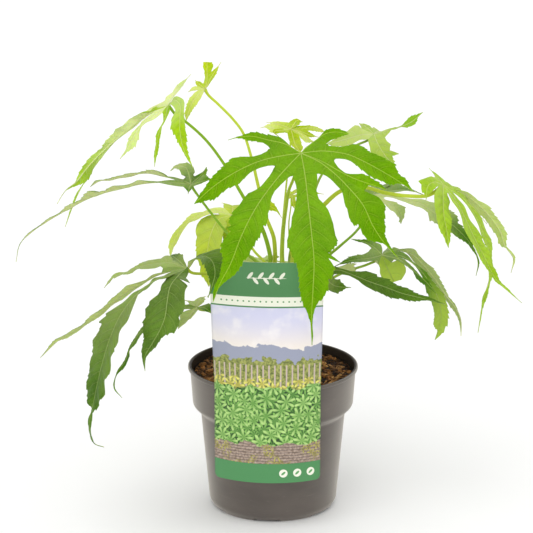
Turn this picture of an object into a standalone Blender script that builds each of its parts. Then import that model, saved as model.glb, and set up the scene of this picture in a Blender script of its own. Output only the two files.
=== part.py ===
"""Fatsia japonica with deeply cut leaves, growing in a round nursery pot.

The pot, its filling of potting soil and its hanging label are made at their real size. Above them
stand one short stem and fifteen leaves, each a stalk and a blade with its own fingers.
Lengths are written in millimetres and turned into metres as the shapes are made.
The origin is the middle of the pot's foot, +Z is up and -Y is the side that carries the label.
"""

import math
from collections import namedtuple

import bmesh
import bpy
from mathutils import Matrix, Vector

MM = 0.001
GAP = 0.35

# The pot
POT_HEIGHT = 147.0
RIM_RADIUS = 85.7
LIP_HEIGHT = 3.2
COLLAR_TOP_RADIUS = 83.6
COLLAR_FOOT_RADIUS = 81.0
COLLAR_FOOT_HEIGHT = 108.0
BODY_TOP_RADIUS = 73.0
BODY_TOP_HEIGHT = 101.0
BODY_FOOT_RADIUS = 64.4
FOOT_RADIUS = 59.5
FOOT_BEND_HEIGHT = 7.0
WALL = 1.5
FLOOR = 3.4
ROUND_STEPS = 48
DRAINS = 6
DRAIN_START_DEG = -96.0
CHANNEL_WIDTH = 27.0
CHANNEL_DEPTH = 2.0
CHANNEL_INNER_RADIUS = 38.0
DRAIN_HOLE_RADIUS = 4.5
DRAIN_HOLE_AT = 46.0

# The soil
SOIL_EDGE_HEIGHT = 139.5
SOIL_CROWN_HEIGHT = 142.0
HOOK_POCKET = ((-27.3, -95.0, 135.5), (14.9, -75.5, 160.0))

# The label, a bent card that stands in front of the pot and hangs on its rim
LABEL_FRONT = -89.2
LABEL_BEND_RADIUS = 89.2
LABEL_HALF_WIDTH = 56.0
LABEL_TOP_HALF_WIDTH = 31.0
LABEL_FOOT_HEIGHT = 52.0
LABEL_TOP_HEIGHT = 279.0
LABEL_SHOULDER = 28.0
LABEL_CORNER = 5.0
LABEL_THICKNESS = 0.5
LABEL_FLATTENING = 0.72
LABEL_TURN_DEG = -4.4
HOOK_HALF_ANGLE_DEG = 14.0
HOOK_THICKNESS = 0.6

# The stem
STEM_FOOT_HEIGHT = 104.0
STEM_TOP_HEIGHT = 240.0
STEM_FOOT = (1.0, 2.0)
STEM_TOP = (7.0, 0.0)
STEM_FOOT_RADIUS = 7.0
STEM_TOP_RADIUS = 5.6
SOCKET_RADIUS = 8.2

# The leaves
BLADE_THICKNESS = 1.2
PETIOLE_BASE_RADIUS = 2.7
PETIOLE_TIP_RADIUS = 1.5
PETIOLE_LANDING = 7.0
PETIOLE_SLANT = 0.5

# The drawing view in which the leaves are laid out: it looks along +Y, this far down on the plant
VIEW_TILT_DEG = 16.0
VIEW_DISTANCE = 3000.0
VIEW_AIM = Vector((-6.5, 0.0, 249.5))
FOOT_BELOW_AIM = 234.5

Leaf = namedtuple("Leaf", "name joint web fingers stalk_from stalk stalk_size colour")


def drawn(across, up, back):
    """The point that the drawing view shows `across` mm right of the pot's axis and `up` mm above
    its foot, where it lies `back` mm behind that axis. All three are millimetres."""
    sine = math.sin(math.radians(VIEW_TILT_DEG))
    cosine = math.cos(math.radians(VIEW_TILT_DEG))
    right = across - VIEW_AIM.x
    high = up - FOOT_BELOW_AIM
    rise = high * (VIEW_DISTANCE + cosine * back) - VIEW_DISTANCE * sine * back
    rise /= VIEW_DISTANCE * cosine + high * sine
    depth = VIEW_DISTANCE + cosine * back - sine * rise
    return Vector((VIEW_AIM.x + right * depth / VIEW_DISTANCE, back, VIEW_AIM.z + rise))


# Each leaf: its name, the point where stalk and blade join, how far its fingers are webbed
# together, its fingers in turn round the blade as (width, roll, points along the midrib to the
# tip), the height at which its stalk leaves the stem, the points along its stalk, the stalk's
# thickness beside a grown one's, and the blade's colour. Points are (across, up, back). A finger's
# width is a pair where the finger is webbed further out to the next one: the second number is how
# far. Its roll is how many degrees it turns about its midrib by its tip, or by its middle and its
# tip.
LEAVES = (
    Leaf("front", (28, 348, -85), 30, (
        (14, 0, (12, 357, -78), (-5, 361, -71), (-20, 364.5, -66), (-33, 364, -63), (-45, 361, -61)),
        (26, 0, (14, 346, -90), (-13, 340, -97), (-39, 328, -105), (-60, 314, -110), (-79, 297, -113)),
        (35, 0, (3, 321, -104), (-16, 295, -116), (-32, 264, -126), (-42, 238, -133), (-53, 217, -137),
         (-60, 199, -139)),
        (46, 0, (32, 326, -104), (35, 300, -116), (38.5, 268, -126), (41, 240, -131), (40, 212, -134),
         (38.5, 184, -135), (39, 156, -134)),
        ((36, 62), 0, (48, 338, -95), (62, 327, -101), (75, 314, -107), (90, 296, -115),
         (100, 275, -124), (112, 257, -129), (126, 242, -134)),
        (10, 0, (50, 339, -92), (66, 330, -98), (80, 323, -102), (92, 318.5, -105), (103, 315, -106),
         (113.5, 311, -107)),
        (27, 0, (50, 350, -84), (62, 349, -84), (75, 346.5, -85), (90, 340, -87), (105, 332, -90),
         (122, 322, -94), (141, 309, -100)),
        (13, 0, (34, 354, -78), (43, 361, -70), (52, 367, -63), (62, 369, -58), (76, 367.2, -54)),
    ), 226, ((9, 250, -9), (10, 270, -14), (13, 293, -26), (16, 311, -39), (20, 321, -49)), 1, "fresh"),
    Leaf("crown", (18, 372, 0), 8, (
        (7, -30, (21, 377, 4), (24, 380.5, 7), (30, 379, 10)),
        (6, 40, (8, 376, 6), (-7, 379, 10)),
        (8, 50, (4, 371.5, 1), (-5, 374.5, 2), (-13, 373, 3)),
        (6, 45, (9, 370.5, -5), (1, 369, -8), (6, 364.5, -10)),
        (10, -15, (20, 364, -10), (22, 357, -16), (27, 349, -21)),
        (6, -50, (27, 367.5, -9), (34, 361.5, -13), (41, 359, -16)),
        (6, -50, (29, 369, -4), (37, 366, -6), (47, 363.5, -8)),
        (6, -60, (30, 373, 4), (42, 372.5, 7), (53, 368.5, 9)),
    ), 238, ((9, 262, 7), (11, 290, 9), (14, 323, 9), (17, 352, 6)), 0.6, "young"),
    Leaf("high_right", (101, 367, 85), 14, (
        (14, 0, (106, 370, 106), (108, 366, 132)),
        (13, 0, (93, 374, 96), (86, 378, 110)),
        (17, 40, (88, 366, 78), (72, 361.5, 70), (54, 357, 62)),
        (24, 0, (104, 359, 72), (109, 350, 62), (114, 343, 56), (121, 337, 50)),
        (10, 0, (108, 369, 92), (118, 371.5, 98), (130, 375, 104), (140, 380, 110), (150, 389, 114)),
    ), 222, ((18, 250, 13), (26, 272, 17), (38, 300, 26), (48, 325, 42), (62, 343, 58),
             (84, 356, 72)), 0.8, "pale"),
    Leaf("bright_right", (170, 316, -55), 12, (
        (15, 0, (184, 310, -36), (200, 293, -18), (214, 277, -6)),
        (8, 0, (166, 322, -44), (156, 333, -30)),
        (14, 0, (162, 319, -60), (155, 315, -68), (153, 301, -74)),
        (18, 0, (170, 303, -72), (171, 285, -84), (174, 268, -90), (175.5, 253, -94)),
        (21, 0, (184, 299, -72), (193, 281, -82), (203, 260, -92), (212, 243, -98), (222, 223, -104),
         (234, 211, -108), (249, 198, -110)),
        (17, 0, (192, 301, -60), (203, 284, -64), (210, 269, -68), (216, 250, -72), (217, 226, -74),
         (210, 200, -76), (205, 168, -78)),
        (16, (60, 45), (192, 307, -45), (206, 296, -38), (219, 282, -32), (228, 268, -29),
         (232, 255, -28), (241, 243, -26), (238, 228, -24)),
    ), 206, ((21, 244, -12), (36, 275, -22), (52, 297, -30), (70, 311, -38), (90, 314, -45),
             (113, 308, -52), (136, 305, -56), (156, 306, -58)), 1.1, "light"),
    Leaf("grey_right", (100, 306, 22), 12, (
        (12, 0, (91, 309, 28), (80, 306, 36)),
        (11, 0, (112, 299, 13), (122, 295, 7), (128, 287, 5), (128, 277, 5)),
        (18, (-15, 0), (116, 305, 16), (133, 301, 8), (148, 297, 2), (163, 287, -4), (184, 272, -14),
         (198, 256, -19), (205, 238, -22), (203, 225, -24)),
        (19, 0, (118, 310, 36), (134, 311, 48), (152, 306, 58)),
        (19, 0, (106, 313, 44), (110, 316, 60), (112, 312, 76)),
    ), 200, ((30, 222, 10), (55, 245, 13), (67, 255, 12), (86, 273, 16), (95, 288, 19)), 0.85, "grey"),
    Leaf("low_right", (109, 246, 5), 15, (
        (9, 0, (102, 253, 16), (92, 259, 24), (78, 262, 32)),
        (13, 0, (98, 243, -4), (86, 241.5, -12), (74, 239.5, -19), (60, 234, -26)),
        (26, 0, (112, 238, -1), (116, 229, -3), (121, 219, -4)),
        (8, 0, (127, 241, -8), (137, 233, -15), (148, 224, -22), (164, 207, -32)),
        (17, (-10, -30), (128, 245, 0), (146, 232, -4), (158, 216, -7), (166, 200, -9), (168, 182, -10),
         (162, 161, -10)),
        (15, (70, 75), (123, 251, 14), (138, 247, 18), (152, 234, 20), (164, 219, 21), (174, 204, 22),
         (182, 194, 22), (188, 180, 22), (188, 165, 22)),
        (18, 0, (118, 256, 30), (128, 259, 46), (134, 255, 66)),
    ), 186, ((24, 203, -4), (50, 218, -2), (72, 229, 1), (98, 238, 3)), 0.85, "grey"),
    Leaf("dark_right", (52, 226, -44), 12, (
        (15, 0, (46, 229, -28), (40, 228, -8)),
        (13, 0, (60, 216, -56), (68, 214, -64), (78, 213.5, -70)),
        (17, 0, (64, 231, -51), (80, 226, -57), (96, 219.5, -62), (112, 214, -65), (128, 208, -66),
         (146, 203.5, -66), (173, 196.5, -66)),
        (17, 0, (64, 231, -28), (75, 231, -12), (88, 224, 2)),
    ), 176, ((18, 190, -14), (32, 206, -28)), 0.8, "dark"),
    Leaf("high_left", (-68, 412, 70), 8, (
        (6, 0, (-62, 423, 76), (-52, 439, 84)),
        (10, -20, (-66, 421, 78), (-66, 430, 84), (-66, 439, 88)),
        (7, 0, (-74, 417, 79), (-78, 421, 86)),
        (7, 0, (-79, 412, 66), (-85, 409, 62)),
        (9, 35, (-75, 406, 58), (-82, 396, 48), (-87, 380, 40)),
    ), 232, ((2, 250, 10), (1, 262, 13), (-7, 284, 20), (-15, 316, 32), (-22, 345, 44), (-31, 370, 54),
             (-42, 384, 60), (-55, 397, 65)), 0.9, "young"),
    Leaf("far_left", (-105, 396, 30), 12, (
        (9, -30, (-100, 405, 40), (-92, 416, 50), (-82, 427, 62)),
        (10, 0, (-122, 388, 46), (-150, 368, 56), (-176, 338, 62), (-194, 309, 64), (-208, 274, 64)),
        (14, (-70, -90), (-118, 391, 33), (-132, 382, 35), (-147, 370, 36), (-160, 359, 36),
         (-172, 348, 35), (-186, 333, 34), (-197, 319, 34), (-207, 311, 34), (-216, 297, 34)),
        (10, (50, 65), (-118, 386, 22), (-131, 377, 12), (-138, 366, 6), (-145, 354, 2),
         (-153, 342, -2)),
        (8, 0, (-107, 386, 16), (-111, 376, 8), (-115, 364, 0), (-117, 350, -6), (-118.5, 334, -10)),
        (15, 0, (-98, 401, 18), (-93, 396, 8), (-93, 384, -4), (-93, 370, -12), (-90, 354, -18),
         (-80, 333, -22)),
    ), 218, ((-3, 246, 3), (-11, 273, 7), (-29, 303, 12), (-36, 315, 14), (-49, 337, 18),
             (-69, 363, 23), (-87, 379, 26), (-98, 387, 28)), 0.95, "spring"),
    Leaf("long_left", (-82, 317, -6), 10, (
        (7, -20, (-76, 322, 1), (-71, 327, 4), (-66.5, 334, 8)),
        (13, 0, (-84, 326, -3), (-87, 333, 3), (-95, 334.5, 9), (-103, 330, 14)),
        (12, (-60, -60), (-95, 321.5, 4), (-110, 325, 14), (-125, 328, 22), (-142, 326, 29),
         (-160, 322, 35), (-175, 319.5, 39), (-183, 314, 41)),
        (12, (-60, -45), (-98, 318, -6), (-116, 319, -2), (-134, 317, 1), (-152, 312.5, 4),
         (-170, 308, 6), (-186, 302, 7), (-203, 293, 8), (-222, 282, 8), (-240, 270, 8), (-253, 257, 8),
         (-257, 239, 8)),
        (6, 0, (-84, 312, -14), (-85, 307, -22)),
        (11, 0, (-73, 319, -15), (-60, 323, -26)),
    ), 196, ((-15, 238, -4), (-25, 246, -5), (-45, 267, -6), (-62, 288, -6),
             (-74, 304, -7)), 0.85, "grey"),
    Leaf("pale_left", (-41, 286, 60), 13, (
        (18, 0, (-24, 294, 62), (-8, 296, 60), (3, 291, 56), (9, 283, 54)),
        (18, 0, (-40, 295, 82), (-44, 294, 106)),
        (9, -20, (-58, 290, 58), (-76, 285, 54), (-90, 274, 50), (-99, 260, 46), (-103, 244, 42)),
        (26, 0, (-55, 281, 50), (-61, 270, 44), (-65, 254, 42), (-65, 236, 42), (-64, 214, 44)),
        (20, 0, (-42, 276, 48), (-44, 265, 44), (-46, 254, 44)),
    ), 204, ((-8, 238, 14), (-18, 249, 28), (-29, 265, 44)), 0.8, "young"),
    Leaf("low_left", (-86, 233, -62), 18, (
        (12, 0, (-95, 241, -46), (-101, 245, -34), (-106, 243, -18)),
        ((18, 24), 0, (-101, 238, -58), (-116, 237.5, -55), (-131, 235, -55), (-145, 229, -56),
         (-158, 225, -57), (-169, 213, -58)),
        ((13, 20), (-45, -55), (-104, 229.5, -68), (-118, 225, -72), (-134, 216, -75), (-152, 205, -77),
         (-172, 189, -80), (-192, 174, -83), (-212, 162.5, -85), (-233, 143, -86)),
        (30, 0, (-101, 227, -78), (-118, 221, -90), (-136, 207, -101), (-150, 190, -109),
         (-161, 168, -115), (-169, 144, -119), (-175, 120, -121), (-180, 96, -122), (-183, 82, -122),
         (-183, 68, -122), (-178, 57, -120), (-169, 54, -119)),
        (36, 0, (-95, 225, -82), (-103, 214, -97), (-106, 198, -108), (-108, 184, -116),
         (-113, 171, -122), (-121, 157, -128), (-128, 144, -131), (-128, 130, -133)),
        (26, 0, (-78, 242, -72), (-69, 245, -80), (-61, 240, -90), (-58, 228, -99), (-61, 215, -105),
         (-65, 203, -108)),
    ), 184, ((-16, 212, -12), (-40, 222, -28), (-68, 227, -50)), 0.95, "dark"),
    Leaf("small_left", (-76, 194, -48), 8, (
        (12, 20, (-75, 200, -42), (-67, 205, -36)),
        (14, -30, (-83, 199, -43), (-89, 201, -38)),
        (7, 0, (-92, 193, -55), (-112, 185, -64), (-130, 172, -70), (-141, 156, -73), (-149, 138, -75),
         (-157, 126, -76), (-159, 114, -77), (-151, 103, -77)),
        (12, 0, (-80, 189, -56), (-86, 181, -64), (-95, 172, -71)),
        (10, 0, (-68, 193, -57), (-61, 187, -66)),
    ), 160, ((-18, 180, -12), (-42, 187, -26), (-63, 190, -41)), 0.6, "grey"),
    Leaf("back", (-12, 234, 85), 16, (
        (28, 0, (0, 240, 110), (14, 236, 138), (30, 224, 160)),
        (30, 0, (-12, 242, 112), (-14, 240, 145), (-16, 228, 178)),
        (28, 0, (-28, 240, 105), (-44, 236, 130), (-58, 222, 150)),
        (22, 0, (-32, 232, 85), (-50, 222, 83), (-66, 204, 82)),
        (22, 0, (8, 232, 85), (28, 224, 84), (46, 206, 84)),
    ), 176, ((3, 190, 22), (0, 205, 45), (-6, 220, 68)), 0.85, "pale"),
    Leaf("bud", (19, 306, -6), 5, (
        (5, 0, (23, 310, 1), (28, 312, 9)),
        (4, 0, (16, 309, -1), (13, 311, 5)),
        (5, 0, (15, 303, -11), (12, 300, -15)),
        (6, 0, (20, 299, -13), (22, 291, -19)),
        (6, 0, (28, 306, -8), (38, 308, -6), (51, 307, -4)),
    ), 232, ((16, 262, -1), (16, 280, -4), (18, 295, -6)), 0.45, "young"),
)

LEAF_COLOURS = {
    "fresh": (0.125, 0.30, 0.002),
    "young": (0.42, 0.53, 0.01),
    "spring": (0.30, 0.49, 0.01),
    "light": (0.32, 0.50, 0.02),
    "pale": (0.27, 0.43, 0.015),
    "grey": (0.25, 0.36, 0.14),
    "dark": (0.075, 0.165, 0.012),
}


def clear_scene():
    for thing in list(bpy.data.objects):
        bpy.data.objects.remove(thing)


def collection(name):
    made = bpy.data.collections.new(name)
    bpy.context.scene.collection.children.link(made)
    return made


def material(name, colour, roughness, metallic=0.0):
    made = bpy.data.materials.new(name)
    made.use_nodes = True
    shader = made.node_tree.nodes["Principled BSDF"]
    shader.inputs["Base Color"].default_value = (*colour, 1.0)
    shader.inputs["Roughness"].default_value = roughness
    shader.inputs["Metallic"].default_value = metallic
    made.diffuse_color = (*colour, 1.0)
    return made


def add_mesh(name, mesh, home, finish):
    made = bpy.data.objects.new(name, mesh)
    made.data.materials.append(finish)
    home.objects.link(made)
    return made


def shade(mesh, angle_deg=35.0):
    mesh.shade_smooth()
    mesh.set_sharp_from_angle(angle=math.radians(angle_deg))


def turned(name, profile, home, finish):
    """A solid of revolution about Z. The profile is (radius, height) in mm: it begins and ends on
    the axis, and runs down the outer side."""
    mesh = bpy.data.meshes.new(name)
    shape = bmesh.new()
    points = [shape.verts.new((radius * MM, 0.0, height * MM)) for radius, height in profile]
    for above, below in zip(points, points[1:]):
        shape.edges.new((above, below))
    shape.to_mesh(mesh)
    shape.free()
    made = add_mesh(name, mesh, home, finish)
    spin = made.modifiers.new("Turn", "SCREW")
    spin.axis = "Z"
    spin.angle = math.tau
    spin.steps = spin.render_steps = ROUND_STEPS
    spin.use_merge_vertices = True
    spin.merge_threshold = 0.00001
    return made


def cut(target, cutter, home):
    """Takes the cutter out of the target, and keeps the cutter as a hidden helper."""
    cutter.hide_render = True
    cutter.display_type = "WIRE"
    home.objects.link(cutter)
    boolean = target.modifiers.new("Cut " + cutter.name, "BOOLEAN")
    boolean.operation = "DIFFERENCE"
    boolean.object = cutter


def between(low, high, share):
    return low + (high - low) * share


def pot_inner_radius(height):
    """The radius of the pot's inside at a height, in mm."""
    if height <= BODY_TOP_HEIGHT:
        share = (height - FOOT_BEND_HEIGHT) / (BODY_TOP_HEIGHT - FOOT_BEND_HEIGHT)
        return between(BODY_FOOT_RADIUS, BODY_TOP_RADIUS, max(share, 0.0)) - WALL
    if height <= COLLAR_FOOT_HEIGHT:
        share = (height - BODY_TOP_HEIGHT) / (COLLAR_FOOT_HEIGHT - BODY_TOP_HEIGHT)
        return between(BODY_TOP_RADIUS, COLLAR_FOOT_RADIUS, share) - WALL
    share = (height - COLLAR_FOOT_HEIGHT) / (POT_HEIGHT - LIP_HEIGHT - COLLAR_FOOT_HEIGHT)
    return between(COLLAR_FOOT_RADIUS, COLLAR_TOP_RADIUS, min(share, 1.0)) - WALL


def make_pot(home, helpers, finish):
    lip_foot = POT_HEIGHT - LIP_HEIGHT
    profile = (
        (0.0, FLOOR),
        (pot_inner_radius(0.0) - 2.0, FLOOR),
        (pot_inner_radius(FOOT_BEND_HEIGHT), FOOT_BEND_HEIGHT),
        (pot_inner_radius(BODY_TOP_HEIGHT), BODY_TOP_HEIGHT),
        (pot_inner_radius(COLLAR_FOOT_HEIGHT), COLLAR_FOOT_HEIGHT),
        (pot_inner_radius(lip_foot), POT_HEIGHT - 0.8),
        (pot_inner_radius(lip_foot) + 0.8, POT_HEIGHT),
        (RIM_RADIUS - 0.8, POT_HEIGHT),
        (RIM_RADIUS, POT_HEIGHT - 0.9),
        (RIM_RADIUS, lip_foot + 1.0),
        (COLLAR_TOP_RADIUS, lip_foot),
        (COLLAR_FOOT_RADIUS, COLLAR_FOOT_HEIGHT),
        (COLLAR_FOOT_RADIUS - 1.6, COLLAR_FOOT_HEIGHT - 2.4),
        (BODY_TOP_RADIUS, BODY_TOP_HEIGHT),
        (BODY_FOOT_RADIUS, FOOT_BEND_HEIGHT),
        (BODY_FOOT_RADIUS - 1.8, FOOT_BEND_HEIGHT / 3),
        (FOOT_RADIUS, 0.0),
        (0.0, 0.0),
    )
    pot = turned("pot", profile, home, finish)
    cutters = bpy.data.meshes.new("drain_cutters")
    shape = bmesh.new()
    reach = BODY_FOOT_RADIUS + 10.0 - CHANNEL_INNER_RADIUS
    for number in range(DRAINS):
        spoke = Matrix.Rotation(math.radians(DRAIN_START_DEG) + number * math.tau / DRAINS, 4, "Z")
        middle = Vector((CHANNEL_INNER_RADIUS + reach / 2, 0.0, 0.0)) * MM
        size = Matrix.Diagonal((reach * MM, CHANNEL_WIDTH * MM, CHANNEL_DEPTH * 2 * MM, 1.0))
        bmesh.ops.create_cube(shape, size=1.0, matrix=spoke @ Matrix.Translation(middle) @ size)
    shape.to_mesh(cutters)
    shape.free()
    cut(pot, bpy.data.objects.new("drain_channels", cutters), helpers)
    holes = bpy.data.meshes.new("drain_hole_cutters")
    shape = bmesh.new()
    for number in range(DRAINS):
        spoke = Matrix.Rotation(math.radians(DRAIN_START_DEG) + number * math.tau / DRAINS, 4, "Z")
        middle = Matrix.Translation(Vector((DRAIN_HOLE_AT, 0.0, FLOOR)) * MM)
        bmesh.ops.create_cone(
            shape, cap_ends=True, segments=12, radius1=DRAIN_HOLE_RADIUS * MM,
            radius2=DRAIN_HOLE_RADIUS * MM, depth=FLOOR * 3 * MM, matrix=spoke @ middle,
        )
    shape.to_mesh(holes)
    shape.free()
    cut(pot, bpy.data.objects.new("drain_holes", holes), helpers)
    shade(pot.data)


def make_soil(home, helpers, finish):
    edge = SOIL_EDGE_HEIGHT
    profile = (
        (0.0, SOIL_CROWN_HEIGHT),
        (45.0, SOIL_CROWN_HEIGHT - 0.8),
        (pot_inner_radius(edge) - GAP - 3.0, edge + 1.2),
        (pot_inner_radius(edge) - GAP, edge),
        (pot_inner_radius(COLLAR_FOOT_HEIGHT) - GAP - 0.3, COLLAR_FOOT_HEIGHT + 0.5),
        (pot_inner_radius(BODY_TOP_HEIGHT) - GAP, BODY_TOP_HEIGHT + 0.5),
        (pot_inner_radius(FOOT_BEND_HEIGHT) - GAP, FOOT_BEND_HEIGHT + 0.5),
        (pot_inner_radius(0.0) - 3.5, FLOOR + GAP),
        (0.0, FLOOR + GAP),
    )
    soil = turned("soil", profile, home, finish)
    mesh = bpy.data.meshes.new("stem_socket")
    shape = bmesh.new()
    foot = STEM_FOOT_HEIGHT - GAP - 0.4
    deep = SOIL_CROWN_HEIGHT + 20.0 - foot
    middle = Vector((STEM_FOOT[0] + 0.6, STEM_FOOT[1] - 0.2, foot + deep / 2)) * MM
    bmesh.ops.create_cone(
        shape, cap_ends=True, segments=20, radius1=SOCKET_RADIUS * MM,
        radius2=SOCKET_RADIUS * MM, depth=deep * MM, matrix=Matrix.Translation(middle),
    )
    shape.to_mesh(mesh)
    shape.free()
    cut(soil, bpy.data.objects.new("stem_socket", mesh), helpers)
    (left, front, low), (right, back, high) = HOOK_POCKET
    mesh = bpy.data.meshes.new("hook_pocket")
    shape = bmesh.new()
    middle = Vector((left + right, front + back, low + high)) / 2 * MM
    size = Matrix.Diagonal(((right - left) * MM, (back - front) * MM, (high - low) * MM, 1.0))
    bmesh.ops.create_cube(shape, size=1.0, matrix=Matrix.Translation(middle) @ size)
    shape.to_mesh(mesh)
    shape.free()
    cut(soil, bpy.data.objects.new("hook_pocket", mesh), helpers)
    shade(soil.data)


def label_half_width(height):
    """Half the label's width, measured along the card, at a height in mm."""
    above_foot = height - LABEL_FOOT_HEIGHT
    below_top = LABEL_TOP_HEIGHT - height
    if above_foot < LABEL_CORNER:
        drop = LABEL_CORNER - above_foot
        return LABEL_HALF_WIDTH - LABEL_CORNER + math.sqrt(LABEL_CORNER**2 - drop**2)
    if below_top < LABEL_SHOULDER:
        share = below_top / LABEL_SHOULDER
        flare = math.sin(share * math.pi / 2) ** 0.8
        return between(LABEL_TOP_HALF_WIDTH, LABEL_HALF_WIDTH, flare)
    return LABEL_HALF_WIDTH


def label_point(along, height):
    """The middle of the card, `along` mm from its centre line: bent round the pot below the rim
    and flatter towards its top."""
    share = max(0.0, (height - POT_HEIGHT) / (LABEL_TOP_HEIGHT - POT_HEIGHT))
    radius = LABEL_BEND_RADIUS / (1.0 - LABEL_FLATTENING * share)
    angle = along / radius
    flat = Vector((
        radius * math.sin(angle), LABEL_FRONT + radius * (1.0 - math.cos(angle)), height,
    ))
    return Matrix.Rotation(math.radians(LABEL_TURN_DEG), 3, "Z") @ flat


def sheet(name, rows, thickness, home, finish):
    """A thin closed card from rows of points in mm."""
    mesh = bpy.data.meshes.new(name)
    shape = bmesh.new()
    grid = [[shape.verts.new(point * MM) for point in row] for row in rows]
    for lower, upper in zip(grid, grid[1:]):
        for left in range(len(lower) - 1):
            shape.faces.new((lower[left], lower[left + 1], upper[left + 1], upper[left]))
    shape.to_mesh(mesh)
    shape.free()
    made = add_mesh(name, mesh, home, finish)
    wall = made.modifiers.new("Thickness", "SOLIDIFY")
    wall.thickness = thickness * MM
    wall.offset = 0.0
    shade(made.data)
    return made


def make_label(home, finish):
    foot, top = LABEL_FOOT_HEIGHT, LABEL_TOP_HEIGHT
    shoulder = top - LABEL_SHOULDER
    heights = [foot, foot + 1.5, foot + LABEL_CORNER, 90.0, 130.0, 165.0, 205.0, shoulder]
    heights += [shoulder + LABEL_SHOULDER * share for share in (0.35, 0.65, 0.85, 0.96, 1.0)]
    columns = 12
    rows = []
    for height in heights:
        half = label_half_width(height)
        rows.append([
            label_point(half * (2.0 * column / columns - 1.0), height)
            for column in range(columns + 1)
        ])
    sheet("label", rows, LABEL_THICKNESS, home, finish)


def make_label_hook(home, finish):
    """The tongue on the label's back that goes over the rim and down inside the pot."""
    back = -LABEL_FRONT - (LABEL_THICKNESS + HOOK_THICKNESS) / 2 - GAP
    inside = pot_inner_radius(POT_HEIGHT) - GAP - HOOK_THICKNESS - 0.3
    over = POT_HEIGHT + HOOK_THICKNESS / 2 + GAP + 0.1
    path = (
        (back, 188.0), (back, 156.0), (back, over + 2.4), (back - 1.2, over + 0.6),
        (back - 3.2, over), (inside + 2.2, over), (inside + 0.8, over - 0.5),
        (inside, over - 2.4), (inside - 0.3, 137.0),
    )
    columns = 6
    turn = math.radians(LABEL_TURN_DEG)
    rows = []
    for radius, height in reversed(path):
        rows.append([])
        for column in range(columns + 1):
            angle = turn + math.radians(HOOK_HALF_ANGLE_DEG) * (2.0 * column / columns - 1.0)
            rows[-1].append(Vector((radius * math.sin(angle), -radius * math.cos(angle), height)))
    sheet("label_hook", rows, HOOK_THICKNESS, home, finish)


def smooth_route(points, step, leave=None):
    """Points every `step` mm or so along a smooth curve through the given points. It sets off in
    the direction `leave`, if there is one."""
    spans = [(after - before).length for before, after in zip(points, points[1:])]
    slopes = [(after - before) / span for before, after, span in zip(points, points[1:], spans)]
    tangents = [slopes[0]]
    for number in range(1, len(spans)):
        near, far = spans[number - 1], spans[number]
        tangents.append((slopes[number - 1] * far + slopes[number] * near) / (near + far))
    tangents.append(slopes[-1])
    if leave is not None:
        tangents[0] = leave.normalized()
    route = [points[0].copy()]
    for number, span in enumerate(spans):
        pieces = max(1, round(span / step))
        for piece in range(1, pieces + 1):
            t = piece / pieces
            route.append(
                points[number] * (2 * t**3 - 3 * t**2 + 1)
                + tangents[number] * span * (t**3 - 2 * t**2 + t)
                + points[number + 1] * (3 * t**2 - 2 * t**3)
                + tangents[number + 1] * span * (t**3 - t**2)
            )
    return route


def tube(name, route, radii, home, finish, resolution=1):
    """A round tube along the route, with its radius in mm at each point."""
    curve = bpy.data.curves.new(name, "CURVE")
    curve.dimensions = "3D"
    curve.bevel_depth = MM
    curve.bevel_resolution = resolution
    curve.use_fill_caps = True
    spline = curve.splines.new("POLY")
    spline.points.add(len(route) - 1)
    for point, place, radius in zip(spline.points, route, radii):
        point.co = (*(place * MM), 1.0)
        point.radius = radius
    made = bpy.data.objects.new(name, curve)
    made.data.materials.append(finish)
    home.objects.link(made)
    return made


def stem_axis(height):
    """The middle of the stem at a height, in mm."""
    share = (height - STEM_FOOT_HEIGHT) / (STEM_TOP_HEIGHT - STEM_FOOT_HEIGHT)
    return Vector((
        between(STEM_FOOT[0], STEM_TOP[0], share), between(STEM_FOOT[1], STEM_TOP[1], share), height,
    ))


def stem_radius(height):
    share = (height - STEM_FOOT_HEIGHT) / (STEM_TOP_HEIGHT - STEM_FOOT_HEIGHT)
    return between(STEM_FOOT_RADIUS, STEM_TOP_RADIUS, share)


def make_stem(home, finish):
    heights = [STEM_FOOT_HEIGHT, 130.0, 160.0, 190.0, 220.0, STEM_TOP_HEIGHT - 2.0, STEM_TOP_HEIGHT]
    radii = [stem_radius(height) for height in heights]
    radii[-1] *= 0.6
    tube("stem", [stem_axis(height) for height in heights], radii, home, finish, 2)


def upper_normal(leaf):
    """The direction that the blade's upper side faces at the joint, and whether the fingers are
    listed to the left round it (1.0) or to the right (-1.0)."""
    joint = drawn(*leaf.joint)
    starts = [(drawn(*points[0]) - joint).normalized() for _, _, *points in leaf.fingers]
    total = Vector()
    for one, other in zip(starts, starts[1:]):
        total += one.cross(other)
    total.normalize()
    return (total, 1.0) if total.z > 0.0 else (-total, -1.0)


def staged(stages, share):
    """The value at a share of the length, on straight lines between (share, value) stages."""
    for (low, before), (high, after) in zip(stages, stages[1:]):
        if share < high:
            return between(before, after, (share - low) / (high - low))
    return stages[-1][1]


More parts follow.
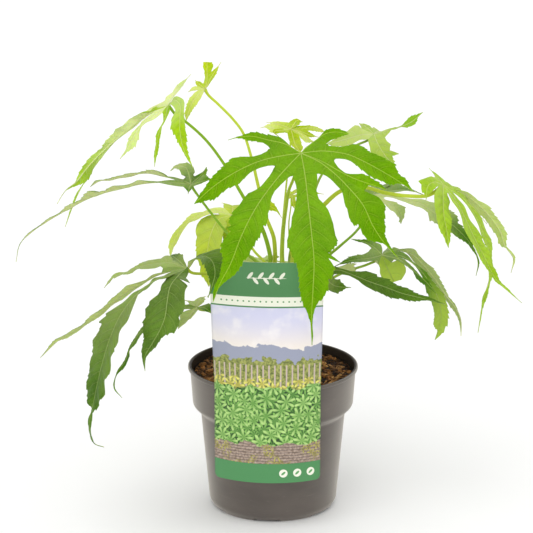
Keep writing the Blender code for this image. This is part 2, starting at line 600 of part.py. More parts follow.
class Rib:
    """A finger's midrib with a steady upper side, read by the distance from the joint in mm."""

    def __init__(self, joint, points, normal, roll, web):
        leave = points[0] - joint
        leave -= normal * leave.dot(normal) * 0.7
        self.points = smooth_route([joint, *points], 3.0, leave)
        self.lengths = [0.0]
        for before, after in zip(self.points, self.points[1:]):
            self.lengths.append(self.lengths[-1] + (after - before).length)
        self.length = self.lengths[-1]
        halfway, last = roll if isinstance(roll, tuple) else (0.75 * roll, roll)
        start = min(0.35, 0.5 * web / self.length)
        stages = ((0.0, 0.0), (start, 0.0), (start + 0.2, halfway), (0.55, halfway), (0.85, last),
                  (1.0, last))
        self.frames = []
        up = normal
        for number in range(len(self.points)):
            low, high = max(number - 1, 0), min(number + 1, len(self.points) - 1)
            along = (self.points[high] - self.points[low]).normalized()
            up = (up - along * up.dot(along)).normalized()
            turn = math.radians(staged(stages, self.lengths[number] / self.length))
            turned_up = up * math.cos(turn) + up.cross(along) * math.sin(turn)
            self.frames.append((along, turned_up))

    def at(self, distance):
        """The point, the direction and the upper side at a distance along the rib."""
        distance = min(max(distance, 0.0), self.length)
        number = 1
        while number < len(self.lengths) - 1 and self.lengths[number] < distance:
            number += 1
        share = (distance - self.lengths[number - 1]) / (self.lengths[number] - self.lengths[number - 1])
        point = self.points[number - 1].lerp(self.points[number], share)
        along = self.frames[number - 1][0].lerp(self.frames[number][0], share).normalized()
        up = self.frames[number - 1][1].lerp(self.frames[number][1], share).normalized()
        return point, along, up


# A finger's width along its length, as (share of length, share of full width): narrow past the
# web, widest near its middle, and drawn out to a thin tip.
FINGER_SHAPE = ((0.0, 0.45), (0.16, 0.45), (0.30, 0.70), (0.45, 1.0), (0.60, 0.93), (0.76, 0.58),
                (0.90, 0.20), (1.0, 0.06))
STATIONS = (0.28, 0.40, 0.52, 0.64, 0.77, 0.90)


def finger_width(share):
    for (low, narrow), (high, wide) in zip(FINGER_SHAPE, FINGER_SHAPE[1:]):
        if share <= high:
            t = (share - low) / (high - low)
            return between(narrow, wide, t * t * (3 - 2 * t))
    return FINGER_SHAPE[-1][1]


def make_blade(leaf, home, finish):
    """The blade: strips along the midribs, webbed together beside the joint."""
    joint = drawn(*leaf.joint)
    normal, turn = upper_normal(leaf)
    ribs = [
        Rib(joint, [drawn(*point) for point in points], normal, roll, leaf.web)
        for _, roll, *points in leaf.fingers
    ]
    starts = [rib.at(0.5)[1] for rib in ribs]
    halves = []
    for one, other in zip(starts, starts[1:]):
        halves.append(min(max(one.angle(other), 0.14), 1.5) / 2)
    widths = [width if isinstance(width, tuple) else (width, leaf.web) for width, *_ in leaf.fingers]
    web = sorted({leaf.web * 0.5, leaf.web, *(reach for _, reach in widths)})
    mesh = bpy.data.meshes.new("blade_" + leaf.name)
    shape = bmesh.new()
    centre = shape.verts.new(joint * MM)
    shared = {}
    for number, (rib, (width, _)) in enumerate(zip(ribs, widths)):
        reach = max(widths[number][1], widths[number - 1][1] if number else 0.0)
        stations = [distance for distance in web if distance <= reach]
        stations += [share * rib.length for share in STATIONS if share * rib.length > reach + 4.0]
        previous = None
        for place, distance in enumerate(stations):
            point, along, up = rib.at(distance)
            aside = up.cross(along) * turn
            row = {0: shape.verts.new(point * MM)}
            half = width / 2 * finger_width(distance / rib.length)
            for side in (1, -1):
                gap = number if side == 1 else number - 1
                inner = 0 <= gap < len(halves)
                spread = distance * math.tan(halves[gap] if inner else 0.7)
                if inner and distance <= widths[gap][1]:
                    corner = (point + aside * side * spread) * MM
                    if (gap, place) in shared:
                        shared[gap, place].co = (shared[gap, place].co + corner) / 2
                    else:
                        shared[gap, place] = shape.verts.new(corner)
                    row[side] = shared[gap, place]
                else:
                    row[side] = shape.verts.new((point + aside * side * min(half, spread)) * MM)
            for side in (1, -1):
                if previous is None:
                    shape.faces.new((centre, row[0], row[side]))
                else:
                    shape.faces.new((previous[0], row[0], row[side], previous[side]))
            previous = row
        end = shape.verts.new(rib.points[-1] * MM)
        for side in (1, -1):
            shape.faces.new((previous[0], end, previous[side]))
    bmesh.ops.recalc_face_normals(shape, faces=shape.faces)
    shape.to_mesh(mesh)
    shape.free()
    made = add_mesh("blade_" + leaf.name, mesh, home, finish)
    wall = made.modifiers.new("Thickness", "SOLIDIFY")
    wall.thickness = BLADE_THICKNESS * MM
    wall.offset = 0.0
    shade(made.data, 60.0)


def make_petiole(leaf, home, finish):
    """The stalk: it leaves the stem sideways, and meets the blade from below."""
    normal, _ = upper_normal(leaf)
    joint = drawn(*leaf.joint)
    route = [drawn(*point) for point in leaf.stalk]
    size = leaf.stalk_size
    axis = stem_axis(leaf.stalk_from)
    outward = route[0] - axis
    outward.z = 0.0
    outward.normalize()
    foot = axis + outward * (stem_radius(leaf.stalk_from) + GAP * 1.6)
    knuckle = foot + outward * 2.5 * size
    arrival = (normal + (joint - route[-1]).normalized() * PETIOLE_SLANT).normalized()
    lean = math.sqrt(max(0.0, 1.0 - arrival.dot(normal) ** 2))
    below = BLADE_THICKNESS / 2 + GAP * 1.7 + PETIOLE_TIP_RADIUS * size * lean
    end = joint - normal * below
    smooth = smooth_route([knuckle, *route, end - arrival * PETIOLE_LANDING * size], 22.0)
    smooth = [foot, *smooth, end]
    radii = []
    for number in range(len(smooth)):
        share = number / (len(smooth) - 1)
        radii.append(size * between(PETIOLE_BASE_RADIUS, PETIOLE_TIP_RADIUS, min(1.0, share * 1.6)))
    tube("petiole_" + leaf.name, smooth, radii, home, finish)


def main():
    clear_scene()
    plant = collection("fatsia_japonica")
    helpers = collection("cutters")
    pot_plastic = material("pot_plastic", (0.094, 0.079, 0.069), 0.42)
    soil_finish = material("potting_soil", (0.09, 0.045, 0.02), 0.95)
    card = material("label_card", (0.12, 0.32, 0.10), 0.4)
    hook_card = material("label_hook", (0.75, 0.76, 0.74), 0.4)
    bark = material("stem_bark", (0.22, 0.26, 0.08), 0.7)
    stalk_green = material("petiole_green", (0.30, 0.48, 0.03), 0.5)
    make_pot(plant, helpers, pot_plastic)
    make_soil(plant, helpers, soil_finish)
    make_label(plant, card)
    make_label_hook(plant, hook_card)
    make_stem(plant, bark)
    greens = {
        name: material("blade_" + name, colour, 0.45) for name, colour in LEAF_COLOURS.items()
    }
    for leaf in LEAVES:
        make_blade(leaf, plant, greens[leaf.colour])
        make_petiole(leaf, plant, stalk_green)


main()
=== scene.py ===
"""A young fatsia japonica with deeply cut leaves, in a round nursery pot with a hanging label.

Lengths are in millimetres in the tables below and become metres in the meshes. The origin is the
middle of the pot's foot, +Z is up, and -Y is the side with the label.
"""
import math
import random
from collections import namedtuple

import bmesh
import bpy
import numpy as np
from mathutils import Matrix, Vector, noise


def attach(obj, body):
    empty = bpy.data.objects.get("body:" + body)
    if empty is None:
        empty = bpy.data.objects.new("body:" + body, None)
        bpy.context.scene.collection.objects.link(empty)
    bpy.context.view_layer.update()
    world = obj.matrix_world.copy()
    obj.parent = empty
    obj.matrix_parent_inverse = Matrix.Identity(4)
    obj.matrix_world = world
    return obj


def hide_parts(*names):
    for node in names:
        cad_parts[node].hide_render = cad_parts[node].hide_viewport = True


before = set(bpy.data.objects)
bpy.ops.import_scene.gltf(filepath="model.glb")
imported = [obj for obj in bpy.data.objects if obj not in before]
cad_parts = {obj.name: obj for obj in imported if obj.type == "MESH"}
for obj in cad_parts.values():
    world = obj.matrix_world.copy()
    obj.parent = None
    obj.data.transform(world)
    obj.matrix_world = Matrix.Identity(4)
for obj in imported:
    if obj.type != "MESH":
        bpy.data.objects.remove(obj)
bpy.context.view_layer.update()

MM = 0.001

# The camera looks along +Y and down on the plant. The leaves are laid out in its view.
VIEW_TILT = math.radians(16.0)
TILT_SINE = math.sin(VIEW_TILT)
TILT_COSINE = math.cos(VIEW_TILT)
VIEW_DISTANCE = 3000.0
VIEW_AIM = np.array((-6.5, 0.0, 249.5))
FOOT_BELOW_AIM = 234.5
FRAME_WIDTH = 533.0
SENSOR_WIDTH = 36.0

# The pot
POT_HEIGHT = 147.0
RIM_RADIUS = 85.7
LIP_HEIGHT = 3.2
LIP_EDGE = 1.5
COLLAR_TOP_RADIUS = 83.6
COLLAR_FOOT_RADIUS = 81.0
COLLAR_FOOT_HEIGHT = 108.0
BODY_TOP_RADIUS = 73.0
BODY_TOP_HEIGHT = 101.0
BODY_FOOT_RADIUS = 64.4
FOOT_RADIUS = 59.5
FOOT_BEND_HEIGHT = 7.0
WALL = 1.5
POT_SIDES = 192
DRAINS = 6
DRAIN_START_DEG = -96.0
CHANNEL_WIDTH = 27.0
CHANNEL_DEPTH = 2.0
CHANNEL_INNER_RADIUS = 38.0
DRAIN_HOLE_RADIUS = 4.5
DRAIN_HOLE_AT = 46.0
FLOOR = 3.4

DRAIN_HOLE_SIDES = 32
SHARP_EDGE_DEG = 40.0

# The soil
SOIL_EDGE_HEIGHT = 139.5
SOIL_CROWN_HEIGHT = 142.0
SOIL_SIDES = 144
SOIL_RINGS = 48
# The soil's noise, as (waves to a mm, height)
SOIL_WAVES = ((0.055, 2.2), (0.17, 1.2), (0.45, 0.5))
SOIL_DROP = 1.2
# How far the strewn pieces are rounded from a block towards a ball
BLOCK_ROUNDING = 0.62
# Where the label's tongue goes into the soil
POCKET_HALF_WIDTH = 20.0
POCKET_BACK = -77.0
POCKET_EDGE = 6.0
POCKET_HEIGHT = 134.5

# The label
LABEL_FRONT = -89.2
LABEL_BEND_RADIUS = 89.2
LABEL_HALF_WIDTH = 56.0
LABEL_TOP_HALF_WIDTH = 31.0
LABEL_FOOT_HEIGHT = 52.0
LABEL_TOP_HEIGHT = 279.0
LABEL_SHOULDER = 28.0
LABEL_CORNER = 5.0
LABEL_THICKNESS = 0.5
LABEL_FLATTENING = 0.72
LABEL_TURN_DEG = -4.4
HOOK_HALF_ANGLE_DEG = 14.0
HOOK_THICKNESS = 0.6
HOOK_FOOT_HEIGHT = 137.0
HOOK_TOP_HEIGHT = 188.0
LABEL_COLUMNS = 48
HOOK_COLUMNS = 24
GAP = 0.35

# The stem
STEM_FOOT_HEIGHT = 104.0
STEM_TOP_HEIGHT = 240.0
STEM_FOOT = (1.0, 2.0)
STEM_TOP = (7.0, 0.0)
STEM_FOOT_RADIUS = 7.0
STEM_TOP_RADIUS = 5.6
STEM_TIP = 3.0
SCAR_REACH = 1.2
SCAR_RISE = 0.35
OLD_SCARS = (118.0, 131.0, 141.0, 151.0)

# The leaves
BLADE_THICKNESS = 0.4
PETIOLE_BASE_RADIUS = 2.7
PETIOLE_TIP_RADIUS = 1.5
PETIOLE_LANDING = 4.0
PETIOLE_SLANT = 1.0
PETIOLE_SIDES = 14
RIB_SIDES = 8
RIB_STEP = 3.0
MIDRIB_STEP = 1.5
ROW_STEP = 2.5
CLOSEST_ROWS = 0.33
# A tooth's longest rise and greatest depth, and the length over which it falls back.
TOOTH_LENGTH = 8.5
TOOTH_DEPTH = 1.7
TOOTH_FALL = 0.7
TEETH_END = 0.88
# Where the larger teeth of a finger without an outline stand, along its length.
LARGE_TEETH = (0.40, 0.56)
WAVE_LENGTHS = (22.0, 34.0)
# The gap between side veins: its share of the finger's width, its least and its most.
VEIN_GAP = (0.30, 3.0, 11.0)
# A blade's rows cross the finger at a slant, as its side veins do.
SWEEP = 0.8
SWEEP_REACH = 14.0
COLUMNS = (0.0, 0.09, 0.22, 0.40, 0.60, 0.80, 0.93, 1.0)
# A finger's half width along its length, as (share of length, share of full half width).
FINGER_SHAPE = ((0.16, 0.40), (0.24, 0.52), (0.33, 0.74), (0.42, 0.92), (0.50, 1.0), (0.58, 0.92),
                (0.66, 0.72), (0.74, 0.48), (0.80, 0.26), (0.86, 0.10), (0.93, 0.06))

Leaf = namedtuple("Leaf", "name joint web fold fingers stalk_from stalk stalk_size colour")
Finger = namedtuple("Finger", "width roll points web before after light")


def finger(width, roll, *points, web=None, before=(), after=(), light=None):
    """One finger: its greatest width, how many degrees it rolls about its midrib (at its end, or
    halfway and at its end), and the midrib's points.
    `web` is how far it is webbed to the next finger, where that isn't as in the rest of the leaf.
    `before` and `after` are its outline towards the finger before it and after it, without the
    tip. `light` is its tone at its root and at its tip: 1 is an upper side as pale as the
    underside, -1 an upper side that glows as with light behind it, or an underside as green as
    the upper side."""
    tip = points[-1][:2]
    before, after = ((*outline, tip) if outline else () for outline in (before, after))
    return Finger(width, roll, points, web, before, after, light)


def drawn(across, up, back):
    """The point that the camera shows `across` mm right of the pot's axis and `up` mm above its
    foot, where it lies `back` mm behind that axis. All three are millimetres."""
    right = across - VIEW_AIM[0]
    high = up - FOOT_BELOW_AIM
    rise = high * (VIEW_DISTANCE + TILT_COSINE * back) - VIEW_DISTANCE * TILT_SINE * back
    rise /= VIEW_DISTANCE * TILT_COSINE + high * TILT_SINE
    depth = VIEW_DISTANCE + TILT_COSINE * back - TILT_SINE * rise
    return np.array((VIEW_AIM[0] + right * depth / VIEW_DISTANCE, back, VIEW_AIM[2] + rise))


LEAVES = []


def grow(*facts):
    LEAVES.append(Leaf(*facts))


# Each leaf: its name, the point where stalk and blade join, how far its fingers are webbed
# together, how many degrees they fold up from their midribs, its fingers in turn round the blade,
# the height at which its stalk leaves the stem, the points along its stalk, the stalk's thickness
# beside a grown one's, and its finish. Points are (across, up, back) as `drawn` takes them, and
# outlines (across, up).
grow("front", (28, 348, -85), 30, 7, (
    finger(26, 0, (12, 357, -78), (-5, 361, -71), (-20, 364.5, -66), (-33, 364, -63), (-45, 361, -61),
        web=31,
        before=((24, 350.5), (18, 354.5), (12, 360), (7, 363.5), (0, 365.3), (-8, 367), (-15, 368.5),
        (-20, 368.2), (-27, 366.5), (-33, 365.2)),
        after=((-3, 352.5), (-5, 355), (-10, 358.5), (-15, 360), (-20, 360.5), (-25, 361), (-32, 362.6),
        (-38, 363))),
    finger(40, 0, (14, 346, -90), (-13, 340, -97), (-39, 328, -105), (-60, 314, -110), (-79, 297, -113),
        web=30,
        before=((-3, 352.5), (-6, 350), (-12, 347), (-20, 344.5), (-30, 343.5), (-40, 342.5),
        (-43, 340.2), (-48, 337.7), (-51, 333.5), (-56, 328), (-60, 323.5), (-66, 317), (-70, 311),
        (-74, 305)),
        after=((1, 335), (0, 335.7), (-5, 335.5), (-12, 333.5), (-17, 331), (-20, 330), (-27, 325),
        (-33, 319), (-36.5, 317), (-45, 312.5), (-50, 309), (-55, 305.5), (-60, 302), (-65, 301),
        (-70, 299.5))),
    finger(50, 0, (3, 321, -104), (-16, 295, -116), (-32, 264, -126), (-42, 238, -133), (-53, 217, -137),
        (-60, 199, -139), web=25,
        before=((1, 335), (0.5, 332.5), (-1, 329), (-4, 324), (-8, 319), (-12, 315), (-17, 312),
        (-22, 309.5), (-25, 308.3), (-27, 305.5), (-30, 301), (-33.3, 295), (-37, 292.8), (-40, 289.5),
        (-42, 285), (-44, 280), (-45.3, 273.5), (-41.5, 274.5), (-42.5, 270), (-45, 267), (-49, 262),
        (-51.5, 257), (-51.5, 250), (-50.5, 245), (-50.5, 240), (-52, 230), (-54, 224), (-58.5, 214),
        (-60.3, 208)),
        after=((19.5, 325), (17.5, 324.8), (14, 322.5), (8, 317), (2, 310), (-1, 304), (-3, 297),
        (-3.3, 292), (-5, 288), (-5, 284), (-7.5, 277), (-10, 275.5), (-12, 268), (-13, 264), (-17, 260),
        (-19, 256), (-23, 250.5), (-25, 244.5), (-29, 241), (-33, 234), (-38, 227.5), (-42, 224),
        (-47, 220), (-54, 213), (-57, 209))),
    finger(56, 0, (32, 326, -104), (35, 300, -116), (38.5, 268, -126), (41, 240, -131), (40, 212, -134),
        (38.5, 184, -135), (39, 156, -134), web=29,
        before=((19.5, 325), (21.5, 321), (23, 315), (23.7, 310), (23.5, 302), (22.5, 295), (21, 290),
        (19, 284), (18, 275), (16, 270), (15.5, 266), (14, 260), (15, 254), (18.3, 249.5), (19.5, 245),
        (21.5, 240), (24, 236.5), (25, 232), (26.3, 222), (27.5, 210), (28.5, 202), (31, 194.5),
        (33.5, 191), (35.5, 185), (37.6, 178), (38, 168)),
        after=((47, 327), (44.5, 322), (43.5, 316), (43.8, 310), (46, 302), (49, 299), (52, 295.5),
        (55, 291), (57, 286), (60.5, 277), (62.5, 266), (64, 258), (66.8, 245), (57.5, 249), (54.5, 247),
        (55, 243), (57.5, 240), (61, 233.5), (60, 229), (58.5, 222.5), (55.5, 221.5), (55.3, 215),
        (54, 211), (49.5, 203), (46, 199.5), (42, 193), (40, 186), (39.6, 176), (40.2, 165))),
    finger(46, 0, (48, 338, -95), (62, 327, -101), (75, 314, -107), (90, 296, -115), (100, 275, -124),
        (112, 257, -129), (126, 242, -134), web=72,
        before=((47, 327), (50, 326.5), (54, 324.5), (59, 320.5), (64, 316), (68, 312), (70, 308),
        (70.5, 303), (71.5, 297), (74, 292), (76, 284), (78, 280), (82.3, 276), (85, 276.8), (88, 271),
        (91, 266.5), (95, 262.3), (101, 259.8), (109, 258), (113, 255.5)),
        after=((91.3, 312), (93, 309.5), (97, 307.5), (102, 305.5), (106, 303.3), (108.5, 300),
        (110, 297), (113, 291.5), (111.7, 289.5), (112.3, 285), (111.3, 279), (112.3, 273), (112, 267),
        (114.5, 259), (119, 252))),
    finger(30, 0, (50, 339, -92), (66, 330, -98), (80, 323, -102), (92, 318.5, -105), (103, 315, -106),
        (113.5, 311, -107), web=32.5,
        before=((91.3, 312), (92.5, 314.5), (95, 315.4), (100, 315), (105, 313.6)),
        after=((59.5, 341), (62, 338), (66, 333), (70, 330), (75, 327.5), (80, 327), (88, 327),
        (92, 325.5), (96, 324), (100, 322), (105, 319.3), (109, 315.2))),
    finger(44, 0, (50, 350, -84), (62, 349, -84), (75, 346.5, -85), (90, 340, -87), (105, 332, -90),
        (122, 322, -94), (141, 309, -100), web=27,
        before=((59.5, 341), (62, 342.3), (66, 342.5), (72, 341.5), (76, 340), (80, 338), (85, 335),
        (90, 331.5), (94, 328), (98, 325), (102, 322.3), (110, 319.3), (114, 317.6), (120, 317.2),
        (125, 317.8), (130, 317), (135, 314)),
        after=((53, 357), (55, 355.5), (60, 354.5), (66, 354), (70, 354.5), (76, 356), (80, 357.5),
        (84, 357.5), (88, 356), (94, 351.3), (93.5, 349.5), (97, 348), (102, 346.3), (108, 345),
        (112, 343), (117, 340), (121, 336), (124, 330.5), (128, 325.5), (132, 322.7), (134, 319))),
    finger(26, 0, (34, 354, -78), (43, 361, -70), (52, 367, -63), (62, 369, -58), (76, 367.2, -54),
        before=((53, 357), (55, 358.5), (58, 361), (62, 363), (68, 365)),
        after=((31, 350.5), (36, 355), (41, 360), (45, 363), (49, 367), (52, 370), (56, 371.5), (63, 372),
        (68, 371.5), (72, 370))),
), 226, ((9, 250, -9), (10, 270, -14), (13, 293, -26), (16, 311, -39), (20, 321, -49)), 1.0, "fresh")
grow("crown", (18, 372, 0), 8, 12, (
    finger(9, -30, (21, 377, 4), (24, 380.5, 7), (30, 379, 10)),
    finger(6, 40, (8, 376, 6), (-7, 379, 10), light=(0.3, 0.8)),
    finger(9, 50, (4, 371.5, 1), (-5, 374.5, 2), (-13, 373, 3), light=(0.5, 1.0)),
    finger(13, 45, (9, 370.5, -5), (1, 369, -8), (6, 364.5, -10),
        before=((10, 373), (3, 372), (0, 369)),
        after=((12, 368.5), (7, 368), (4, 366.5))),
    finger(22, -15, (20, 364, -10), (22, 357, -16), (27, 349, -21), light=(0.0, 0.2),
        before=((16, 368), (15.5, 362), (17.5, 358), (20, 354.5)),
        after=((25, 367), (27, 363), (28, 358.5), (30, 353))),
    finger(13, -50, (27, 367.5, -9), (34, 361.5, -13), (41, 359, -16), light=(0.4, 0.8),
        before=((27, 364), (33, 359)),
        after=((29, 368), (35, 364))),
    finger(6, -50, (29, 369, -4), (37, 366, -6), (47, 363.5, -8)),
    finger(12, -60, (30, 373, 4), (42, 372.5, 7), (53, 368.5, 9), light=(0.0, 0.5),
        before=((26, 370.5), (34, 370.5), (44, 369.5)),
        after=((24, 375), (33, 375.3), (42, 374.6), (49, 371.5))),
), 238, ((9, 262, 7), (11, 290, 9), (14, 323, 9), (17, 352, 6)), 0.6, "young")
grow("high_right", (101, 367, 85), 14, 14, (
    finger(14, 0, (106, 370, 106), (108, 366, 132)),
    finger(18, 0, (93, 374, 96), (86, 378, 110)),
    finger(26, 40, (88, 366, 78), (72, 361.5, 70), (54, 357, 62), light=(0.7, 0.6),
        before=((92, 375), (88, 377.5), (82, 376), (75, 370), (66, 364.3), (60, 361)),
        after=((95, 361), (88, 361.5), (80, 358), (72, 355), (62, 354.8))),
    finger(30, 0, (104, 359, 72), (109, 350, 62), (114, 343, 56), (121, 337, 50), light=(0.3, 0.15),
        before=((95, 361), (97, 355), (98.5, 349), (102, 346), (108, 343), (113, 340)),
        after=((107, 364.5), (110, 363), (114, 360), (118, 357), (123, 350.5), (117, 353.5), (116, 350),
        (119, 345), (121.5, 340))),
    finger(18, 0, (108, 369, 92), (118, 371.5, 98), (130, 375, 104), (140, 380, 110), (150, 389, 114),
        light=(0.3, -1.0),
        before=((107, 368.3), (118, 371), (128, 374.3), (133, 373.5), (140, 375.5), (143, 378.5),
        (145, 384)),
        after=((107, 369.7), (118, 372.5), (128, 375.5), (131, 378), (135, 382), (139, 385),
        (144, 386.5))),
), 222, ((18, 250, 13), (26, 272, 17), (38, 300, 26), (48, 325, 42), (62, 343, 58), (84, 356, 72)), 0.8,
    "pale")
grow("bright_right", (170, 316, -55), 12, 22, (
    finger(16, 0, (184, 310, -36), (200, 293, -18), (214, 277, -6)),
    finger(8, 0, (166, 322, -44), (156, 333, -30)),
    finger(20, 0, (162, 319, -60), (155, 315, -68), (153, 301, -74)),
    finger(24, 0, (170, 303, -72), (171, 285, -84), (174, 268, -90), (175.5, 253, -94),
        before=((161.5, 306), (161, 297), (163, 287), (166, 276), (168, 270), (171, 264)),
        after=((177, 299), (176, 294), (178, 283), (178.5, 275), (177.5, 267))),
    finger(26, 0, (184, 299, -72), (193, 281, -82), (203, 260, -92), (212, 243, -98), (222, 223, -104),
        (234, 211, -108), (249, 198, -110),
        before=((180, 299), (185, 291), (189, 282), (191, 272), (196, 264), (201, 254), (206, 246),
        (211, 238), (217, 227), (228, 216)),
        after=((190, 296), (193, 290), (198, 281), (204, 271), (209, 263), (214, 253), (219, 238),
        (222, 231), (231, 216))),
    finger(24, 0, (192, 301, -60), (203, 284, -64), (210, 269, -68), (216, 250, -72), (217, 226, -74),
        (210, 200, -76), (205, 168, -78),
        before=((196, 290), (204, 277), (208, 264), (212, 250), (213, 236), (213.5, 220), (211, 205),
        (208.5, 190)),
        after=((198, 297), (206, 286), (211, 277), (216, 266), (218.5, 256), (219.5, 240), (219, 224),
        (215, 208), (210, 192))),
    finger(24, (60, 45), (192, 307, -45), (206, 296, -38), (219, 282, -32), (228, 268, -29),
        (232, 255, -28), (241, 243, -26), (238, 228, -24), light=(-0.3, -0.4),
        before=((200, 294), (210, 284), (218, 274), (224, 266), (225.5, 258), (229, 254.5), (233, 253),
        (240, 243.5)),
        after=((190, 310), (205, 300.5), (215, 295), (220, 288), (224, 284), (228, 277), (233, 267),
        (233.5, 262), (234, 254), (242, 243.5))),
), 206, ((21, 244, -12), (36, 275, -22), (52, 297, -30), (70, 311, -38), (90, 314, -45), (113, 308, -52),
    (136, 305, -56), (156, 306, -58)), 1.25, "light")
grow("grey_right", (100, 306, 22), 12, 24, (
    finger(14, 0, (91, 309, 28), (80, 306, 36)),
    finger(22, 0, (112, 299, 13), (122, 295, 7), (128, 287, 5), (128, 277, 5), light=(0.9, 0.5),
        before=((112, 297), (117, 290), (121, 289), (126, 283)),
        after=((112, 301.5), (119, 300), (126, 297), (132, 293.5), (131, 288))),
    finger(26, (-15, 0), (116, 305, 16), (133, 301, 8), (148, 297, 2), (163, 287, -4), (184, 272, -14),
        (198, 256, -19), (205, 238, -22), (203, 225, -24), light=(0.8, 0.0),
        before=((132, 299.5), (143, 294.5), (150, 292), (155, 289), (156, 281.5), (160, 281), (166, 276),
        (181, 267), (190, 261), (197, 254), (203, 246), (205, 237)),
        after=((120, 303), (135, 303.2), (146, 302), (156, 299), (166, 297), (177, 291), (184, 284),
        (185, 278), (191, 273), (195, 265), (200, 256), (204, 247), (206, 235))),
    finger(20, 0, (118, 310, 36), (134, 311, 48), (152, 306, 58)),
    finger(20, 0, (106, 313, 44), (110, 316, 60), (112, 312, 76)),
), 200, ((30, 222, 10), (55, 245, 13), (67, 255, 12), (86, 273, 16), (95, 288, 19)), 0.85, "grey")
grow("low_right", (109, 246, 5), 15, 20, (
    finger(16, 0, (102, 253, 16), (92, 259, 24), (78, 262, 32),
        before=((108, 257), (100, 259.3), (88, 261.7)),
        after=((105, 247), (100, 251.5), (95, 256), (88, 259))),
    finger(12, 0, (98, 243, -4), (86, 241.5, -12), (74, 239.5, -19), (60, 234, -26)),
    finger(34, 0, (112, 238, -1), (116, 229, -3), (121, 219, -4), light=(-0.7, -0.9),
        before=((105, 243), (105, 238), (107, 233), (107, 228), (108.5, 224), (112, 221.5)),
        after=((127, 242), (131, 237), (133, 233), (133, 229), (130, 224.5))),
    finger(16, 0, (127, 241, -8), (137, 233, -15), (148, 224, -22), (164, 207, -32),
        before=((129, 238), (135, 234), (140, 230), (143, 223.5), (148, 219), (154, 214.5)),
        after=((131, 242), (138, 235), (144, 229.5), (149, 223.5), (154, 222), (157, 217))),
    finger(24, (-10, -30), (128, 245, 0), (146, 232, -4), (158, 216, -7), (166, 200, -9), (168, 182, -10),
        (162, 161, -10), light=(0.2, -0.65),
        before=((140, 238), (150, 224), (153, 209), (157, 197.5), (160.5, 195), (160, 184), (161, 176),
        (164.5, 170)),
        after=((140, 240), (154, 227), (166, 212), (173, 199), (175.5, 190), (174.5, 180), (171, 172),
        (168, 166))),
    finger(22, (70, 75), (123, 251, 14), (138, 247, 18), (152, 234, 20), (164, 219, 21), (174, 204, 22),
        (182, 194, 22), (188, 180, 22), (188, 165, 22), light=(-0.35, -0.45),
        before=((135, 246), (148, 234), (160, 218), (172, 202), (178, 194), (182, 189), (186, 180)),
        after=((125, 255.5), (136, 252.5), (145, 247), (152, 240), (160, 232), (167, 222), (172, 212),
        (175.5, 204), (182, 197.5), (185, 190), (188.5, 176))),
    finger(14, 0, (118, 250, 24), (127, 247, 40), (133, 240, 58)),
), 186, ((24, 203, -4), (50, 218, -2), (72, 229, 1), (98, 238, 3)), 0.85, "grey")
grow("dark_right", (52, 226, -44), 12, 14, (
    finger(16, 0, (46, 229, -28), (40, 228, -8)),
    finger(14, 0, (60, 216, -56), (68, 214, -64), (78, 213.5, -70)),
    finger(38, 0, (64, 231, -51), (80, 226, -57), (96, 219.5, -62), (112, 214, -65), (128, 208, -66),
        (146, 203.5, -66), (173, 196.5, -66), light=(0.05, 0.0),
        before=((76, 225), (85, 221), (90, 217), (97, 212.5), (103, 209.5), (112, 206), (120, 203.5),
        (127, 202.5), (134, 200.5), (145, 200.5), (155, 200.5)),
        after=((66, 233), (78, 230.5), (88, 229), (93, 229.5), (104, 227.3), (104.5, 225), (112, 222),
        (120, 218.5), (131, 213.5), (140, 209.5), (150, 205.5), (158, 203))),
    finger(18, 0, (64, 231, -28), (75, 231, -12), (88, 224, 2)),
), 176, ((18, 190, -14), (32, 206, -28)), 0.8, "dark")
grow("high_left", (-68, 412, 70), 8, 20, (
    finger(6, 0, (-62, 423, 76), (-52, 439, 84)),
    finger(16, -20, (-66, 421, 78), (-66, 430, 84), (-66, 439, 88),
        before=((-64, 417), (-64, 423), (-62, 429), (-60, 434), (-61, 438.5)),
        after=((-68, 417), (-68, 424), (-68.5, 430), (-70, 435), (-69, 439))),
    finger(12, 0, (-74, 417, 79), (-78, 421, 86)),
    finger(12, 0, (-79, 412, 66), (-85, 409, 62), light=(0.8, 0.8)),
    finger(15, 35, (-75, 406, 58), (-82, 396, 48), (-87, 380, 40), light=(0.75, 0.4),
        before=((-79, 408), (-84, 401), (-86.5, 394), (-88, 387)),
        after=((-72, 403), (-77, 396), (-82, 389))),
), 232, ((2, 250, 10), (1, 262, 13), (-7, 284, 20), (-15, 316, 32), (-22, 345, 44), (-31, 370, 54),
    (-42, 384, 60), (-55, 397, 65)), 0.9, "young")
